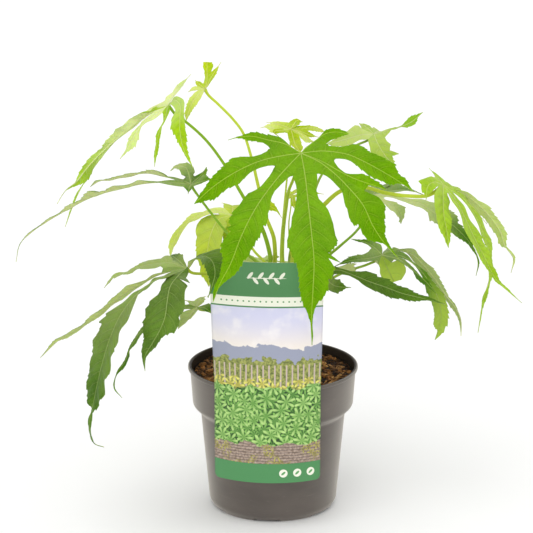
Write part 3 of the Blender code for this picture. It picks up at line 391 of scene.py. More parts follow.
grow("far_left", (-105, 396, 30), 12, 22, (
    finger(6, -30, (-100, 405, 40), (-92, 416, 50), (-82, 427, 62), light=(0.9, 0.5)),
    finger(22, 0, (-122, 388, 46), (-150, 368, 56), (-176, 338, 62), (-194, 309, 64), (-208, 274, 64),
        light=(0.8, 0.1),
        before=((-180, 335), (-190, 318), (-200, 299), (-204, 288)),
        after=((-174, 334), (-184, 320), (-191, 306), (-200, 288))),
    finger(34, (-70, -90), (-118, 391, 33), (-132, 382, 35), (-147, 370, 36), (-160, 359, 36),
        (-172, 348, 35), (-186, 333, 34), (-197, 319, 34), (-207, 311, 34), (-216, 297, 34),
        light=(-0.1, -0.95),
        before=((-120, 394), (-130, 389.5), (-140, 383), (-150, 376), (-158, 372.5), (-159.5, 367),
        (-163, 363), (-168, 359), (-172, 353), (-178, 347), (-184, 342), (-190, 335.5), (-194, 327),
        (-199, 317.5), (-207, 311.5)),
        after=((-118, 389.5), (-130, 381.5), (-145, 370), (-158, 359), (-168, 349.5), (-175, 342),
        (-179, 334), (-181, 328), (-184, 323), (-190, 318.5), (-198, 315), (-207, 310.3))),
    finger(24, (50, 65), (-118, 386, 22), (-131, 377, 12), (-138, 366, 6), (-145, 354, 2),
        (-153, 342, -2), light=(0.8, 0.6),
        before=((-133, 375.5), (-141, 368), (-145.5, 359), (-147, 352)),
        after=((-131, 375), (-133.5, 370), (-134.5, 363), (-138, 355), (-146, 349))),
    finger(16, 0, (-107, 386, 16), (-111, 376, 8), (-115, 364, 0), (-117, 350, -6), (-118.5, 334, -10),
        light=(0.05, 0.0),
        before=((-110, 380), (-113.5, 373), (-116.5, 366), (-117.8, 354), (-118.8, 343)),
        after=((-108, 380), (-111.5, 375), (-112.7, 366), (-114, 354), (-117, 344))),
    finger(26, 0, (-98, 401, 18), (-93, 396, 8), (-93, 384, -4), (-93, 370, -12), (-90, 354, -18),
        (-80, 333, -22), light=(0.35, -0.2),
        before=((-98, 391), (-101, 380), (-102, 373), (-100, 369), (-97, 364), (-92, 354), (-86, 342)),
        after=((-90, 402), (-89, 395), (-88.5, 380), (-86.5, 363), (-85, 347))),
), 218, ((-3, 246, 3), (-11, 273, 7), (-29, 303, 12), (-36, 315, 14), (-49, 337, 18), (-69, 363, 23),
    (-87, 379, 26), (-98, 387, 28)), 0.95, "spring")
grow("long_left", (-82, 317, -6), 10, 26, (
    finger(13, -20, (-76, 322, 1), (-71, 327, 4), (-66.5, 334, 8), light=(0.2, -0.2),
        before=((-74, 319.5), (-69, 324), (-66, 330)),
        after=((-79, 323), (-74, 327), (-70, 329))),
    finger(24, 0, (-84, 326, -3), (-87, 333, 3), (-95, 334.5, 9), (-103, 330, 14), light=(0.3, 0.7),
        before=((-78.5, 324), (-78, 329), (-79.5, 334), (-84, 337), (-90, 338), (-97, 336.5)),
        after=((-91, 322), (-91.5, 326), (-93, 330), (-97, 332.5))),
    finger(22, (-60, -60), (-95, 321.5, 4), (-110, 325, 14), (-125, 328, 22), (-142, 326, 29),
        (-160, 322, 35), (-175, 319.5, 39), (-183, 314, 41),
        before=((-97, 323.5), (-108, 326), (-115, 330.5), (-125, 330.5), (-135, 328.7), (-150, 325.7),
        (-160, 324.5), (-170, 321), (-178, 320.3)),
        after=((-95, 320), (-105, 321.5), (-115, 324.7), (-130, 325.5), (-145, 324.5), (-152, 322.5),
        (-162, 319.7), (-170, 318), (-176, 318.6))),
    finger(26, (-60, -45), (-98, 318, -6), (-116, 319, -2), (-134, 317, 1), (-152, 312.5, 4),
        (-170, 308, 6), (-186, 302, 7), (-203, 293, 8), (-222, 282, 8), (-240, 270, 8), (-253, 257, 8),
        (-257, 239, 8),
        before=((-110, 321), (-130, 320.5), (-140, 318.5), (-150, 316.3), (-160, 314.5), (-168, 311),
        (-176, 309), (-183, 310), (-191, 303), (-200, 298), (-210, 291.5), (-225, 281.3), (-240, 271.5),
        (-253, 257.7)),
        after=((-110, 317), (-125, 316.8), (-138, 315), (-142, 311), (-146, 312), (-152, 310),
        (-160, 306.3), (-165, 306.2), (-172, 305.5), (-180, 301.5), (-188, 294.5), (-192, 291.5),
        (-195, 294.5), (-205, 289.5), (-210, 284.5), (-214, 287), (-225, 279.7), (-240, 269),
        (-253, 256.3))),
    finger(12, 0, (-84, 312, -14), (-85, 307, -22)),
    finger(12, 0, (-73, 319, -15), (-60, 323, -26)),
), 196, ((-15, 238, -4), (-25, 246, -5), (-45, 267, -6), (-62, 288, -6), (-74, 304, -7)), 0.85, "grey")
grow("pale_left", (-41, 286, 60), 13, 12, (
    finger(18, 0, (-24, 294, 62), (-8, 296, 60), (3, 291, 56), (9, 283, 54)),
    finger(20, 0, (-40, 295, 82), (-44, 294, 106)),
    finger(20, -20, (-58, 290, 58), (-76, 285, 54), (-90, 274, 50), (-99, 260, 46), (-103, 244, 42),
        light=(0.9, 0.5),
        before=((-70, 289), (-80, 287), (-88, 281), (-96, 272), (-101, 264), (-104.5, 255)),
        after=((-70, 284), (-75, 282.5), (-84, 278), (-91, 268), (-96, 258), (-99, 250))),
    finger(40, 0, (-55, 281, 50), (-61, 270, 44), (-65, 254, 42), (-65, 236, 42), (-64, 214, 44),
        light=(0.4, 0.15),
        before=((-72, 282), (-76, 276), (-77, 270), (-76, 264), (-77.5, 260), (-76, 250), (-75, 240),
        (-71, 226)),
        after=((-46, 275), (-50, 268), (-51.5, 262), (-52, 256), (-54, 248), (-56, 236), (-60, 224))),
    finger(22, 0, (-42, 276, 48), (-44, 265, 44), (-46, 254, 44)),
), 204, ((-8, 238, 14), (-18, 249, 28), (-29, 265, 44)), 0.8, "young")
grow("low_left", (-86, 233, -62), 18, 12, (
    finger(14, 0, (-95, 241, -46), (-101, 245, -34), (-106, 243, -18)),
    finger(28, 0, (-101, 238, -58), (-116, 237.5, -55), (-131, 235, -55), (-145, 229, -56),
        (-158, 225, -57), (-169, 213, -58), web=24, light=(0.55, 0.6),
        before=((-98, 246.5), (-103, 247.3), (-108, 245), (-112, 242), (-118, 241.5), (-125, 241.5),
        (-131, 238.5), (-135, 235), (-142, 232.5), (-147, 229.5), (-157, 227.2), (-165, 220)),
        after=((-114, 232), (-118, 233), (-128, 232.5), (-135, 231.5), (-143, 228.5), (-150, 226.5),
        (-158, 222.5), (-163, 218.5))),
    finger(20, (-45, -55), (-104, 229.5, -68), (-118, 225, -72), (-134, 216, -75), (-152, 205, -77),
        (-172, 189, -80), (-192, 174, -83), (-212, 162.5, -85), (-233, 143, -86),
        before=((-120, 226), (-128, 221.5), (-140, 216.7), (-148, 215), (-153, 210), (-158, 205),
        (-166, 197), (-175, 190.5), (-185, 182), (-196, 173), (-205, 168), (-218, 161), (-226, 152)),
        after=((-118, 223), (-134, 213.5), (-150, 203), (-160, 196), (-170, 188), (-180, 180.5),
        (-190, 174), (-200, 167.5), (-206, 163), (-215, 160.3), (-222, 155))),
    finger(44, 0, (-101, 227, -78), (-118, 221, -90), (-136, 207, -101), (-150, 190, -109),
        (-161, 168, -115), (-169, 144, -119), (-175, 120, -121), (-180, 96, -122), (-183, 82, -122),
        (-183, 68, -122), (-178, 57, -120), (-169, 54, -119), web=20, light=(0.3, 0.0),
        before=((-116, 223.5), (-125, 217), (-135, 210), (-145, 203), (-152, 198.3), (-159, 194),
        (-167, 187.2), (-166, 184.5), (-173, 179), (-171.5, 177), (-177.7, 168.5), (-176.7, 166.5),
        (-180, 158.5), (-178.8, 156.5), (-183, 149.5), (-181.3, 147.5), (-181.8, 138), (-186, 125.3),
        (-184.6, 123), (-186, 114), (-187, 105), (-185, 103), (-185, 98), (-181.5, 92), (-184.5, 80),
        (-184, 69), (-180, 58.5)),
        after=((-120, 217.5), (-130, 211), (-135, 205), (-138, 197), (-141, 190), (-143.5, 180.3),
        (-146.5, 180), (-148.5, 170.3), (-151.5, 169.5), (-156.5, 152.3), (-158.8, 153.5), (-160, 143.5),
        (-161.8, 143), (-163.5, 126), (-165.3, 120.8), (-168, 120), (-169.5, 104.3), (-171.5, 102.5),
        (-176, 94.5), (-180, 88.5), (-182, 80), (-182, 68), (-177, 57.5))),
    finger(50, 0, (-95, 225, -82), (-103, 214, -97), (-106, 198, -108), (-108, 184, -116),
        (-113, 171, -122), (-121, 157, -128), (-128, 144, -131), (-128, 130, -133), web=17,
        light=(0.12, 0.05),
        before=((-106, 225), (-108, 221), (-112, 210), (-115, 205), (-119, 202), (-123.5, 199.5),
        (-124, 196), (-128, 192), (-128.3, 184), (-130.3, 177.5), (-129.3, 172), (-130.3, 167.5),
        (-129, 161), (-131, 150), (-131, 143)),
        after=((-91.5, 226), (-90, 223), (-87, 222.5), (-82, 216.7), (-85, 214), (-85.5, 209),
        (-83, 204.3), (-88.5, 205), (-89, 199), (-91, 187), (-94.5, 184.5), (-93.5, 180), (-96, 174.5),
        (-100, 168.7), (-104, 168.5), (-110, 164), (-115, 158), (-120, 152.5), (-127, 143))),
    finger(25, 0, (-78, 242, -72), (-69, 245, -80), (-61, 240, -90), (-58, 228, -99), (-61, 215, -105),
        (-65, 203, -108), light=(0.1, 0.0)),
), 184, ((-16, 212, -12), (-40, 222, -28), (-68, 227, -50)), 0.95, "dark")
grow("small_left", (-76, 194, -48), 8, 22, (
    finger(14, 20, (-75, 200, -42), (-67, 205, -36), light=(0.9, 0.8)),
    finger(18, -30, (-83, 199, -43), (-89, 201, -38), light=(0.9, 0.8)),
    finger(16, 0, (-92, 193, -55), (-112, 185, -64), (-130, 172, -70), (-141, 156, -73), (-149, 138, -75),
        (-157, 126, -76), (-159, 114, -77), (-151, 103, -77),
        before=((-112, 187), (-128, 176), (-137, 166), (-144, 152), (-150, 139), (-157, 126.5),
        (-159.7, 118), (-158, 110)),
        after=((-112, 183), (-128, 171), (-134, 164), (-138, 157), (-141.5, 150), (-144, 152),
        (-149, 134), (-153, 130), (-157, 124.5), (-158.5, 116), (-156, 109))),
    finger(24, 0, (-80, 189, -56), (-86, 181, -64), (-95, 172, -71), light=(0.8, 0.6),
        before=((-84, 195), (-92, 188), (-93, 181)),
        after=((-76, 190), (-79, 186), (-85, 181))),
    finger(12, 0, (-68, 193, -57), (-61, 187, -66)),
), 160, ((-18, 180, -12), (-42, 187, -26), (-63, 190, -41)), 0.6, "grey")
grow("back", (-12, 234, 85), 16, 12, (
    finger(32, 0, (0, 240, 110), (14, 236, 138), (30, 224, 160)),
    finger(34, 0, (-12, 242, 112), (-14, 240, 145), (-16, 228, 178)),
    finger(32, 0, (-28, 240, 105), (-44, 236, 130), (-58, 222, 150)),
    finger(26, 0, (-32, 232, 85), (-50, 222, 83), (-66, 204, 82)),
    finger(26, 0, (8, 232, 85), (28, 224, 84), (46, 206, 84)),
), 176, ((3, 190, 22), (0, 205, 45), (-6, 220, 68)), 0.85, "pale")
grow("bud", (19, 306, -6), 5, 20, (
    finger(5, 0, (23, 310, 1), (28, 312, 9)),
    finger(5, 0, (16, 309, -1), (13, 311, 5)),
    finger(7, 0, (15, 303, -11), (12, 300, -15)),
    finger(8, 0, (20, 299, -13), (22, 291, -19)),
    finger(6, 0, (28, 306, -8), (38, 308, -6), (51, 307, -4)),
), 232, ((16, 262, -1), (16, 280, -4), (18, 295, -6)), 0.45, "young")


def unit(vector):
    return vector / np.linalg.norm(vector)


def ease(value):
    """A smooth step from 0 at 0 to 1 at 1."""
    value = np.clip(value, 0.0, 1.0)
    return value * value * (3.0 - 2.0 * value)


def between(low, high, share):
    return low + (high - low) * share


def seen(point):
    """Where the camera shows a point in mm: the opposite of drawn."""
    rise = point[2] - VIEW_AIM[2]
    depth = VIEW_DISTANCE + TILT_COSINE * point[1] - TILT_SINE * rise
    high = TILT_COSINE * rise + TILT_SINE * point[1]
    return np.array((
        VIEW_AIM[0] + (point[0] - VIEW_AIM[0]) * VIEW_DISTANCE / depth,
        FOOT_BELOW_AIM + high * VIEW_DISTANCE / depth,
    ))


def curved(t, start, leave, end, arrive):
    """A smooth curve at the shares `t`, which leaves its start and arrives at its end with the
    given slopes."""
    return (
        start * (2 * t**3 - 3 * t**2 + 1) + leave * (t**3 - 2 * t**2 + t)
        + end * (3 * t**2 - 2 * t**3) + arrive * (t**3 - t**2)
    )


def smooth_route(points, step, leave=None):
    """Points every `step` mm or so along a smooth curve through the given points. It sets off in
    the direction `leave`, if there is one."""
    points = [np.asarray(point, float) for point in points]
    spans = [np.linalg.norm(after - before) for before, after in zip(points, points[1:])]
    slopes = [(after - before) / span for before, after, span in zip(points, points[1:], spans)]
    tangents = [slopes[0]]
    for number in range(1, len(spans)):
        near, far = spans[number - 1], spans[number]
        tangents.append((slopes[number - 1] * far + slopes[number] * near) / (near + far))
    tangents.append(slopes[-1])
    if leave is not None:
        tangents[0] = unit(leave)
    route = [points[0]]
    for number, span in enumerate(spans):
        pieces = max(1, round(span / step))
        route += [curved(piece / pieces, points[number], tangents[number] * span,
                         points[number + 1], tangents[number + 1] * span)
                  for piece in range(1, pieces + 1)]
    return np.array(route)


def carried_frames(route, up):
    """The directions along a route, and an upward direction that turns with it without twisting."""
    along = np.gradient(route, axis=0)
    along /= np.linalg.norm(along, axis=1)[:, None]
    ups = []
    for direction in along:
        up = unit(up - direction * np.dot(up, direction))
        ups.append(up)
    return along, np.array(ups)


def upper_normal(leaf):
    """The direction that the blade's upper side faces at the joint, and whether the fingers are
    listed to the left round it (1.0) or to the right (-1.0)."""
    joint = drawn(*leaf.joint)
    starts = [unit(drawn(*one.points[0]) - joint) for one in leaf.fingers]
    total = unit(sum(np.cross(one, other) for one, other in zip(starts, starts[1:])))
    return (total, 1.0) if total[2] > 0.0 else (-total, -1.0)


class Rib:
    """A finger's midrib, read by the distance from the joint in mm."""

    def __init__(self, joint, one, normal, turn, web):
        points = [drawn(*point) for point in one.points]
        leave = points[0] - joint
        leave -= normal * np.dot(leave, normal) * 0.7
        self.route = smooth_route([joint, *points], MIDRIB_STEP, leave)
        steps = np.linalg.norm(np.diff(self.route, axis=0), axis=1)
        self.reach = np.concatenate(([0.0], np.cumsum(steps)))
        self.length = self.reach[-1]
        self.along, self.up = carried_frames(self.route, normal)
        halfway, last = one.roll if isinstance(one.roll, tuple) else (0.75 * one.roll, one.roll)
        start = min(0.35, 0.5 * web / self.length)
        share = self.reach / self.length
        turns = (start, start + 0.2, 0.55, 0.85)
        roll = np.radians(np.interp(share, turns, (0.0, halfway, halfway, last)))
        side = np.cross(self.up, self.along)
        self.up = self.up * np.cos(roll)[:, None] + side * np.sin(roll)[:, None]
        self.aside = np.cross(self.up, self.along) * turn
        self.facing = self.up @ (0.0, -TILT_COSINE, TILT_SINE)
        self.shown = np.array([seen(point) for point in self.route])

    def nearest(self, target):
        """The number of the route's point that the camera shows nearest to a drawn point."""
        return int(np.argmin(np.linalg.norm(self.shown - target, axis=1)))

    def at(self, distances):
        """Points, and the directions along, up and aside, at distances along the rib."""
        read = []
        for table in (self.route, self.along, self.up, self.aside):
            values = [np.interp(distances, self.reach, table[:, axis]) for axis in range(3)]
            read.append(np.stack(values, 1))
        return [read[0]] + [values / np.linalg.norm(values, axis=1)[:, None] for values in read[1:]]


def web_arc(ribs, gap, distances, shares, fold):
    """Rows of points from one midrib (share 0) to the next (share 1) in the webbed part, and the
    direction up at each."""
    start, _, start_up, start_aside = ribs[gap].at(distances)
    end, _, end_up, end_aside = ribs[gap + 1].at(distances)
    chord = np.linalg.norm(end - start, axis=1)[:, None]
    cosine, sine = math.cos(fold), math.sin(fold)
    leave = (start_aside * cosine + start_up * sine) * chord
    arrive = (end_aside * cosine - end_up * sine) * chord
    t = np.asarray(shares)[None, :, None]
    arc = curved(t, start[:, None], leave[:, None], end[:, None], arrive[:, None])
    up = start_up[:, None] * (1 - t) + end_up[:, None] * t
    return arc, up / np.linalg.norm(up, axis=2)[:, :, None]


class Flank:
    """One half of a finger, between its midrib and its margin on the side of the finger before it
    (side -1) or after it (side 1) in the leaf's list."""

    def __init__(self, leaf, ribs, number, side, chance):
        self.one, self.rib, self.ribs, self.side = leaf.fingers[number], ribs[number], ribs, side
        self.fold = math.radians(leaf.fold)
        self.gap = number if side > 0 else number - 1
        self.joined = 0 <= self.gap < len(ribs) - 1
        self.limit = web_reach(leaf, self.gap) if self.joined else 0.0
        self.waves = (chance.uniform(*WAVE_LENGTHS), chance.random())
        self.backward = self.seam = 0.0
        if self.joined:
            reach = np.array([self.limit])
            seam = web_arc(ribs, self.gap, reach, [0.5], self.fold)[0][0, 0]
            place, along, _, aside = [values[0] for values in self.rib.at(reach)]
            self.backward = float(np.clip(np.dot(place - seam, along), 0.0, self.limit * 0.35))
            self.seam = max(0.5, float(np.dot(seam - place, aside) * side))
        self.teeth = self.saw_teeth(chance)
        self.set_margin()

    def spread(self, distances, across, shares):
        """Points `across` mm from the midrib, which lie at `shares` of the half width."""
        place, along, up, aside = self.rib.at(distances)
        past = (distances - self.limit)[:, None]
        forward = SWEEP * ease(past / SWEEP_REACH) * across * (0.6 + 0.4 * shares)
        forward = forward - self.backward * (1.0 - ease(past / 9.0)) * shares**2
        rise = math.tan(self.fold) * across * (1.0 - 0.45 * shares)
        points = place[:, None] + aside[:, None] * self.side * across[:, :, None]
        points = points + along[:, None] * forward[:, :, None] + up[:, None] * rise[:, :, None]
        return points, up

    def saw_teeth(self, chance):
        """The small teeth: where each begins and ends, and how far it stands out."""
        outlined = bool(self.one.before if self.side < 0 else self.one.after)
        start = max(self.limit + 5.0, self.rib.length * (0.36 if outlined else 0.26))
        end = self.rib.length * TEETH_END
        teeth = []
        deep = min(TOOTH_DEPTH, 0.07 * self.one.width)
        longest = min(TOOTH_LENGTH, 3.0 + 0.20 * self.one.width)
        while start < end:
            stop = start + chance.uniform(0.55, 1.0) * longest
            teeth.append((start, stop, deep * chance.uniform(0.35, 1.0)))
            start = stop
        if not outlined:
            for place in LARGE_TEETH:
                middle = (place + chance.uniform(-0.05, 0.05)) * self.rib.length
                if middle > self.limit + 6.0:
                    long = 0.13 * self.rib.length
                    teeth.append((middle - long, middle, self.one.width * chance.uniform(0.06, 0.15)))
        return teeth

    def set_margin(self):
        """Half widths along the midrib: read off the drawn outline, or from the usual shape."""
        own, other = self.one.before, self.one.after
        if self.side > 0:
            own, other = other, own
        own = [point for point in own if self.rib.facing[self.rib.nearest(point)] >= 0.0]
        other = [point for point in other if self.rib.facing[self.rib.nearest(point)] < 0.0]
        drawn_line = sorted(own + other, key=self.rib.nearest)
        widest = self.one.width / 2
        if not drawn_line:
            shares, halves = zip(*FINGER_SHAPE)
            reaches = np.array(shares) * self.rib.length
            halves = np.array(halves) * widest
            reaches = reaches - SWEEP * halves * 0.8
            keep = reaches > self.limit + 4.0
            self.reaches, self.halves = reaches[keep], halves[keep]
        else:
            self.reaches, self.halves = self.read_outline(drawn_line, widest)
        begin = (self.limit, self.seam) if self.joined else (0.0, 0.02)
        keep = self.reaches > begin[0] + 0.6
        self.reaches = np.concatenate(([begin[0]], self.reaches[keep], [self.rib.length]))
        self.halves = np.concatenate(([begin[1]], self.halves[keep], [0.12]))

    def read_outline(self, drawn_line, widest):
        """Solves where each drawn point lies: how far along the midrib, and how far from it. A
        part that shows its underside has its two margins the other way round."""
        reaches, halves = [], []
        nudge = 0.4
        for target in np.array(drawn_line, float):
            nearest = self.rib.nearest(target)
            half = min(float(np.linalg.norm(self.rib.shown[nearest] - target)), widest)
            reach = max(self.rib.reach[nearest] - SWEEP * half, self.limit)
            for _ in range(14):
                here = self.edge(reach, half)
                ahead = self.edge(reach + nudge, half)
                wider = self.edge(reach, half + nudge)
                slopes = np.stack(((ahead - here) / nudge, (wider - here) / nudge), 1)
                if abs(np.linalg.det(slopes)) < 0.03:
                    break
                step = np.linalg.solve(slopes, target - here)
                reach += np.clip(step[0], -8.0, 8.0)
                reach = float(np.clip(reach, self.limit, self.rib.length))
                half = float(np.clip(half + np.clip(step[1], -5.0, 5.0), 0.15, widest))
            if reaches:
                reach = max(reach, reaches[-1] + 0.35)
            reaches.append(reach)
            halves.append(half)
        reaches, halves = np.array(reaches), np.array(halves)
        keep = reaches < self.rib.length - 0.4
        return reaches[keep], halves[keep]

    def edge(self, reach, half):
        points, _ = self.spread(np.array([reach]), np.array([[half]]), np.array([[1.0]]))
        return seen(points[0, 0])

    def stations(self):
        """The distances along the midrib where this margin turns."""
        marks = list(self.reaches)
        for start, stop, _ in self.teeth:
            marks += [start, (start + stop) / 2, stop - TOOTH_FALL]
        return marks

    def half_width(self, distances):
        half = np.interp(distances, self.reaches, self.halves)
        free = ease((distances - self.limit - 3.0) / 6.0)
        for start, stop, deep in self.teeth:
            share = (distances - start) / (stop - TOOTH_FALL - start)
            fallen = np.clip((stop - distances) / TOOTH_FALL, 0.0, 1.0)
            grown = np.clip(share, 0.0, 1.0) ** 1.5 * fallen
            slim = np.clip(half / (0.18 * self.one.width), 0.0, 1.0)
            half = half + deep * free * slim * np.where(share > 0.0, grown, 0.0)
        return half

    def surface(self, distances, phases):
        """The grid of points, with each one's distance from the midrib and its vein count."""
        columns = np.array(COLUMNS)[None, :]
        half = self.half_width(distances)
        across = half[:, None] * columns
        shares = np.broadcast_to(columns, across.shape)
        points, up = self.spread(distances, across, shares)
        lifts = np.broadcast_to(up[:, None], points.shape).copy()
        past = distances - self.limit
        wave = np.sin(math.tau * (distances / self.waves[0] + self.waves[1]))[:, None]
        size = (0.2 + 0.025 * self.one.width) * ease(past / 12.0)
        size = size * ease((self.rib.length - distances) / (0.3 * self.rib.length))
        height = wave * shares**2 * size[:, None]
        puff = 0.010 * self.one.width * np.abs(np.sin(math.pi * phases)) ** 0.7
        puff = puff * ease(distances / 14.0)
        height = height + puff[:, None] * np.sin(math.pi * shares**0.8)
        webbed = (distances <= self.limit + 1e-6) & self.joined
        if webbed.any():
            shift = columns[0] / 2 if self.side > 0 else 1.0 - columns[0] / 2
            arc = web_arc(self.ribs, self.gap, distances[webbed], shift, self.fold)
            points[webbed], lifts[webbed] = arc
        points = points + lifts * height[:, :, None]
        away = np.linalg.norm(points - points[:, :1], axis=2)
        return points, away, shares


def web_reach(leaf, gap):
    """How far from the joint the finger is webbed to the next."""
    reach = leaf.fingers[gap].web
    return leaf.web if reach is None else reach


def merged_stations(marks, closest):
    """Sorted distances, without those nearer than `closest` to the one before."""
    kept = []
    for mark in sorted(marks):
        if not kept or mark - kept[-1] >= closest:
            kept.append(mark)
    return kept


def grid_faces(shape, verts, backwards):
    """Fills a grid of vertices with smooth faces. Gives each one's column, and its loops with
    their places (row, column) in the grid."""
    for row in range(len(verts) - 1):
        for column in range(len(verts[0]) - 1):
            corners = [(row, column), (row + 1, column), (row + 1, column + 1), (row, column + 1)]
            if backwards:
                corners.reverse()
            face = shape.faces.new([verts[r][c] for r, c in corners])
            face.smooth = True
            yield column, zip(face.loops, corners)


def blade_sheet(leaf):
    """The blade's upper surface as a bmesh, with three maps: `veins` holds the distance from the
    midrib and the count of side veins, `margins` the shares of half width and of length, and
    `light` how pale and how green the blade is."""
    chance = random.Random(leaf.name)
    joint = drawn(*leaf.joint)
    normal, turn = upper_normal(leaf)
    ribs = [Rib(joint, one, normal, turn, leaf.web) for one in leaf.fingers]
    web = [web_reach(leaf, gap) for gap in range(len(ribs) - 1)]
    web_step = max(1.2, leaf.web / 14.0)
    common = sorted({*np.arange(0.0, max(web) - 0.5, web_step), *web})
    sheet = bmesh.new()
    veins = sheet.loops.layers.uv.new("veins")
    margins = sheet.loops.layers.uv.new("margins")
    light = sheet.loops.layers.uv.new("light")
    for number, (one, rib) in enumerate(zip(leaf.fingers, ribs)):
        flanks = {side: Flank(leaf, ribs, number, side, chance) for side in (-1, 1)}
        near = max(flank.limit for flank in flanks.values())
        stations = [distance for distance in common if distance <= near + 1e-6]
        marks = [*flanks[-1].stations(), *flanks[1].stations()]
        marks += list(np.arange(near + ROW_STEP, rib.length, ROW_STEP))
        far = [mark for mark in marks if near + 0.45 < mark < rib.length - 0.4]
        distances = np.array([*stations, *merged_stations(far, CLOSEST_ROWS), rib.length])
        root, tip = one.light or (LEAF_FINISHES[leaf.colour].joint_light, 0.0)
        pale = root + (tip - root) * ease((distances / rib.length - 0.25) / 0.5)
        vein_gap = float(np.clip(one.width * VEIN_GAP[0], *VEIN_GAP[1:]))
        halves = {}
        for side, flank in flanks.items():
            phases = distances / vein_gap + (0.5 if side < 0 else 0.0)
            halves[side] = (*flank.surface(distances, phases), phases)
        points = np.concatenate((halves[-1][0][:, :0:-1], halves[1][0]), axis=1) * MM
        away = np.concatenate((-halves[-1][1][:, :0:-1], halves[1][1]), axis=1)
        shares = np.concatenate((halves[-1][2][:, :0:-1], halves[1][2]), axis=1)
        verts = [[sheet.verts.new(place) for place in row] for row in points]
        middle = len(COLUMNS) - 1
        for column, loops in grid_faces(sheet, verts, turn < 0):
            phases = halves[1 if column >= middle else -1][3]
            for loop, (r, c) in loops:
                loop[veins].uv = (away[r, c], phases[r])
                loop[margins].uv = (shares[r, c], distances[r] / rib.length)
                loop[light].uv = (max(pale[r], 0.0), max(-pale[r], 0.0))
    bmesh.ops.remove_doubles(sheet, verts=sheet.verts, dist=0.00002)
    return sheet, ribs


def swept_tube(route, radii, sides, up=(0.0, 0.0, 1.0)):
    """A closed round tube along a route in mm, as a bmesh in metres."""
    along, ups = carried_frames(np.asarray(route), np.asarray(up, float) + (0.013, 0.007, 0.0))
    asides = np.cross(along, ups)
    shape = bmesh.new()
    rings = []
    for place, aside, top, radius in zip(route, asides, ups, radii):
        ring = []
        for number in range(sides):
            angle = math.tau * number / sides
            outward = aside * math.cos(angle) + top * math.sin(angle)
            ring.append(shape.verts.new((place + outward * radius) * MM))
        rings.append(ring)
    for lower, upper in zip(rings, rings[1:]):
        for number in range(sides):
            after = (number + 1) % sides
            shape.faces.new((lower[number], upper[number], upper[after], lower[after])).smooth = True
    shape.faces.new(rings[0])
    shape.faces.new(rings[-1][::-1])
    bmesh.ops.recalc_face_normals(shape, faces=shape.faces)
    return shape


def to_object(name, shape, *materials):
    """A new object from a bmesh, which is freed."""
    mesh = bpy.data.meshes.new(name)
    shape.to_mesh(mesh)
    shape.free()
    made = bpy.data.objects.new(name, mesh)
    bpy.context.scene.collection.objects.link(made)
    for finish in materials:
        mesh.materials.append(finish)
    return made


def settle(made):
    """Applies the object's modifiers to its mesh."""
    depsgraph = bpy.context.evaluated_depsgraph_get()
    mesh = bpy.data.meshes.new_from_object(made.evaluated_get(depsgraph))
    mesh.name = made.name
    made.modifiers.clear()
    made.data = mesh
    return made


def merged(shape, other, slot):
    """Adds another bmesh's faces to a bmesh, with a material slot."""
    for face in other.faces:
        face.material_index = slot
    mesh = bpy.data.meshes.new("part")
    other.to_mesh(mesh)
    other.free()
    shape.from_mesh(mesh)
    bpy.data.meshes.remove(mesh)


def make_blade(leaf, finishes):
    """A blade with a thickness, its underside in a finish of its own, and its ribs."""
    sheet, ribs = blade_sheet(leaf)
    made = to_object("leaf_" + leaf.name, sheet, *finishes)
    wall = made.modifiers.new("Thickness", "SOLIDIFY")
    wall.thickness = BLADE_THICKNESS * MM
    wall.offset = -1.0
    wall.material_offset = 1
    settle(made)
    shape = bmesh.new()
    shape.from_mesh(made.data)
    for one, rib in zip(leaf.fingers, ribs):
        distances = np.linspace(0.4, rib.length * 0.97, max(10, int(rib.length / RIB_STEP)))
        place, _, up, _ = rib.at(distances)
        thick = (0.22 + one.width * 0.010) * (1.0 - distances / rib.length) ** 0.8 + 0.12
        depth = thick * 0.74 + 0.02
        merged(shape, swept_tube(place - up * depth[:, None], thick, RIB_SIDES, up[0]), 2)
    shape.to_mesh(made.data)
    shape.free()
    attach(made, "root")
    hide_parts("blade_" + leaf.name)
    return made


def stem_axis(height):
    share = (height - STEM_FOOT_HEIGHT) / (STEM_TOP_HEIGHT - STEM_FOOT_HEIGHT)
    return np.array((*between(np.array(STEM_FOOT), np.array(STEM_TOP), share), height))


def stem_radius(height):
    share = (height - STEM_FOOT_HEIGHT) / (STEM_TOP_HEIGHT - STEM_FOOT_HEIGHT)
    return between(STEM_FOOT_RADIUS, STEM_TOP_RADIUS, share)


def make_petiole(leaf, finish):
    """The stalk. Its foot widens to clasp the stem, and its end thickens below the blade."""
    normal, _ = upper_normal(leaf)
    joint = drawn(*leaf.joint)
    route = [drawn(*point) for point in leaf.stalk]
    size = leaf.stalk_size
    axis = stem_axis(leaf.stalk_from)
    outward = route[0] - axis
    outward[2] = 0.0
    outward = unit(outward)
    foot = axis + outward * (stem_radius(leaf.stalk_from) + 0.2)
    knuckle = foot + outward * 2.5 * size
    end = joint - normal * (BLADE_THICKNESS + 0.1)
    arrival = unit(normal + unit(joint - route[-1]) * PETIOLE_SLANT)
    landing = end - arrival * PETIOLE_LANDING * size
    smooth = smooth_route([foot, knuckle, *route, landing, end], 2.5)
    steps = np.linalg.norm(np.diff(smooth, axis=0), axis=1)
    reach = np.concatenate(([0.0], np.cumsum(steps)))
    share = reach / reach[-1]
    radii = size * between(PETIOLE_BASE_RADIUS, PETIOLE_TIP_RADIUS, np.minimum(1.0, share * 1.5))
    radii += size * 1.6 * np.exp(-reach / (5.0 * size))
    radii += size * 0.55 * np.exp(-(reach[-1] - reach) / (3.5 * size))
    made = to_object("stalk_" + leaf.name, swept_tube(smooth, radii, PETIOLE_SIDES), finish)
    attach(made, "root")
    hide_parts("petiole_" + leaf.name)
    return made


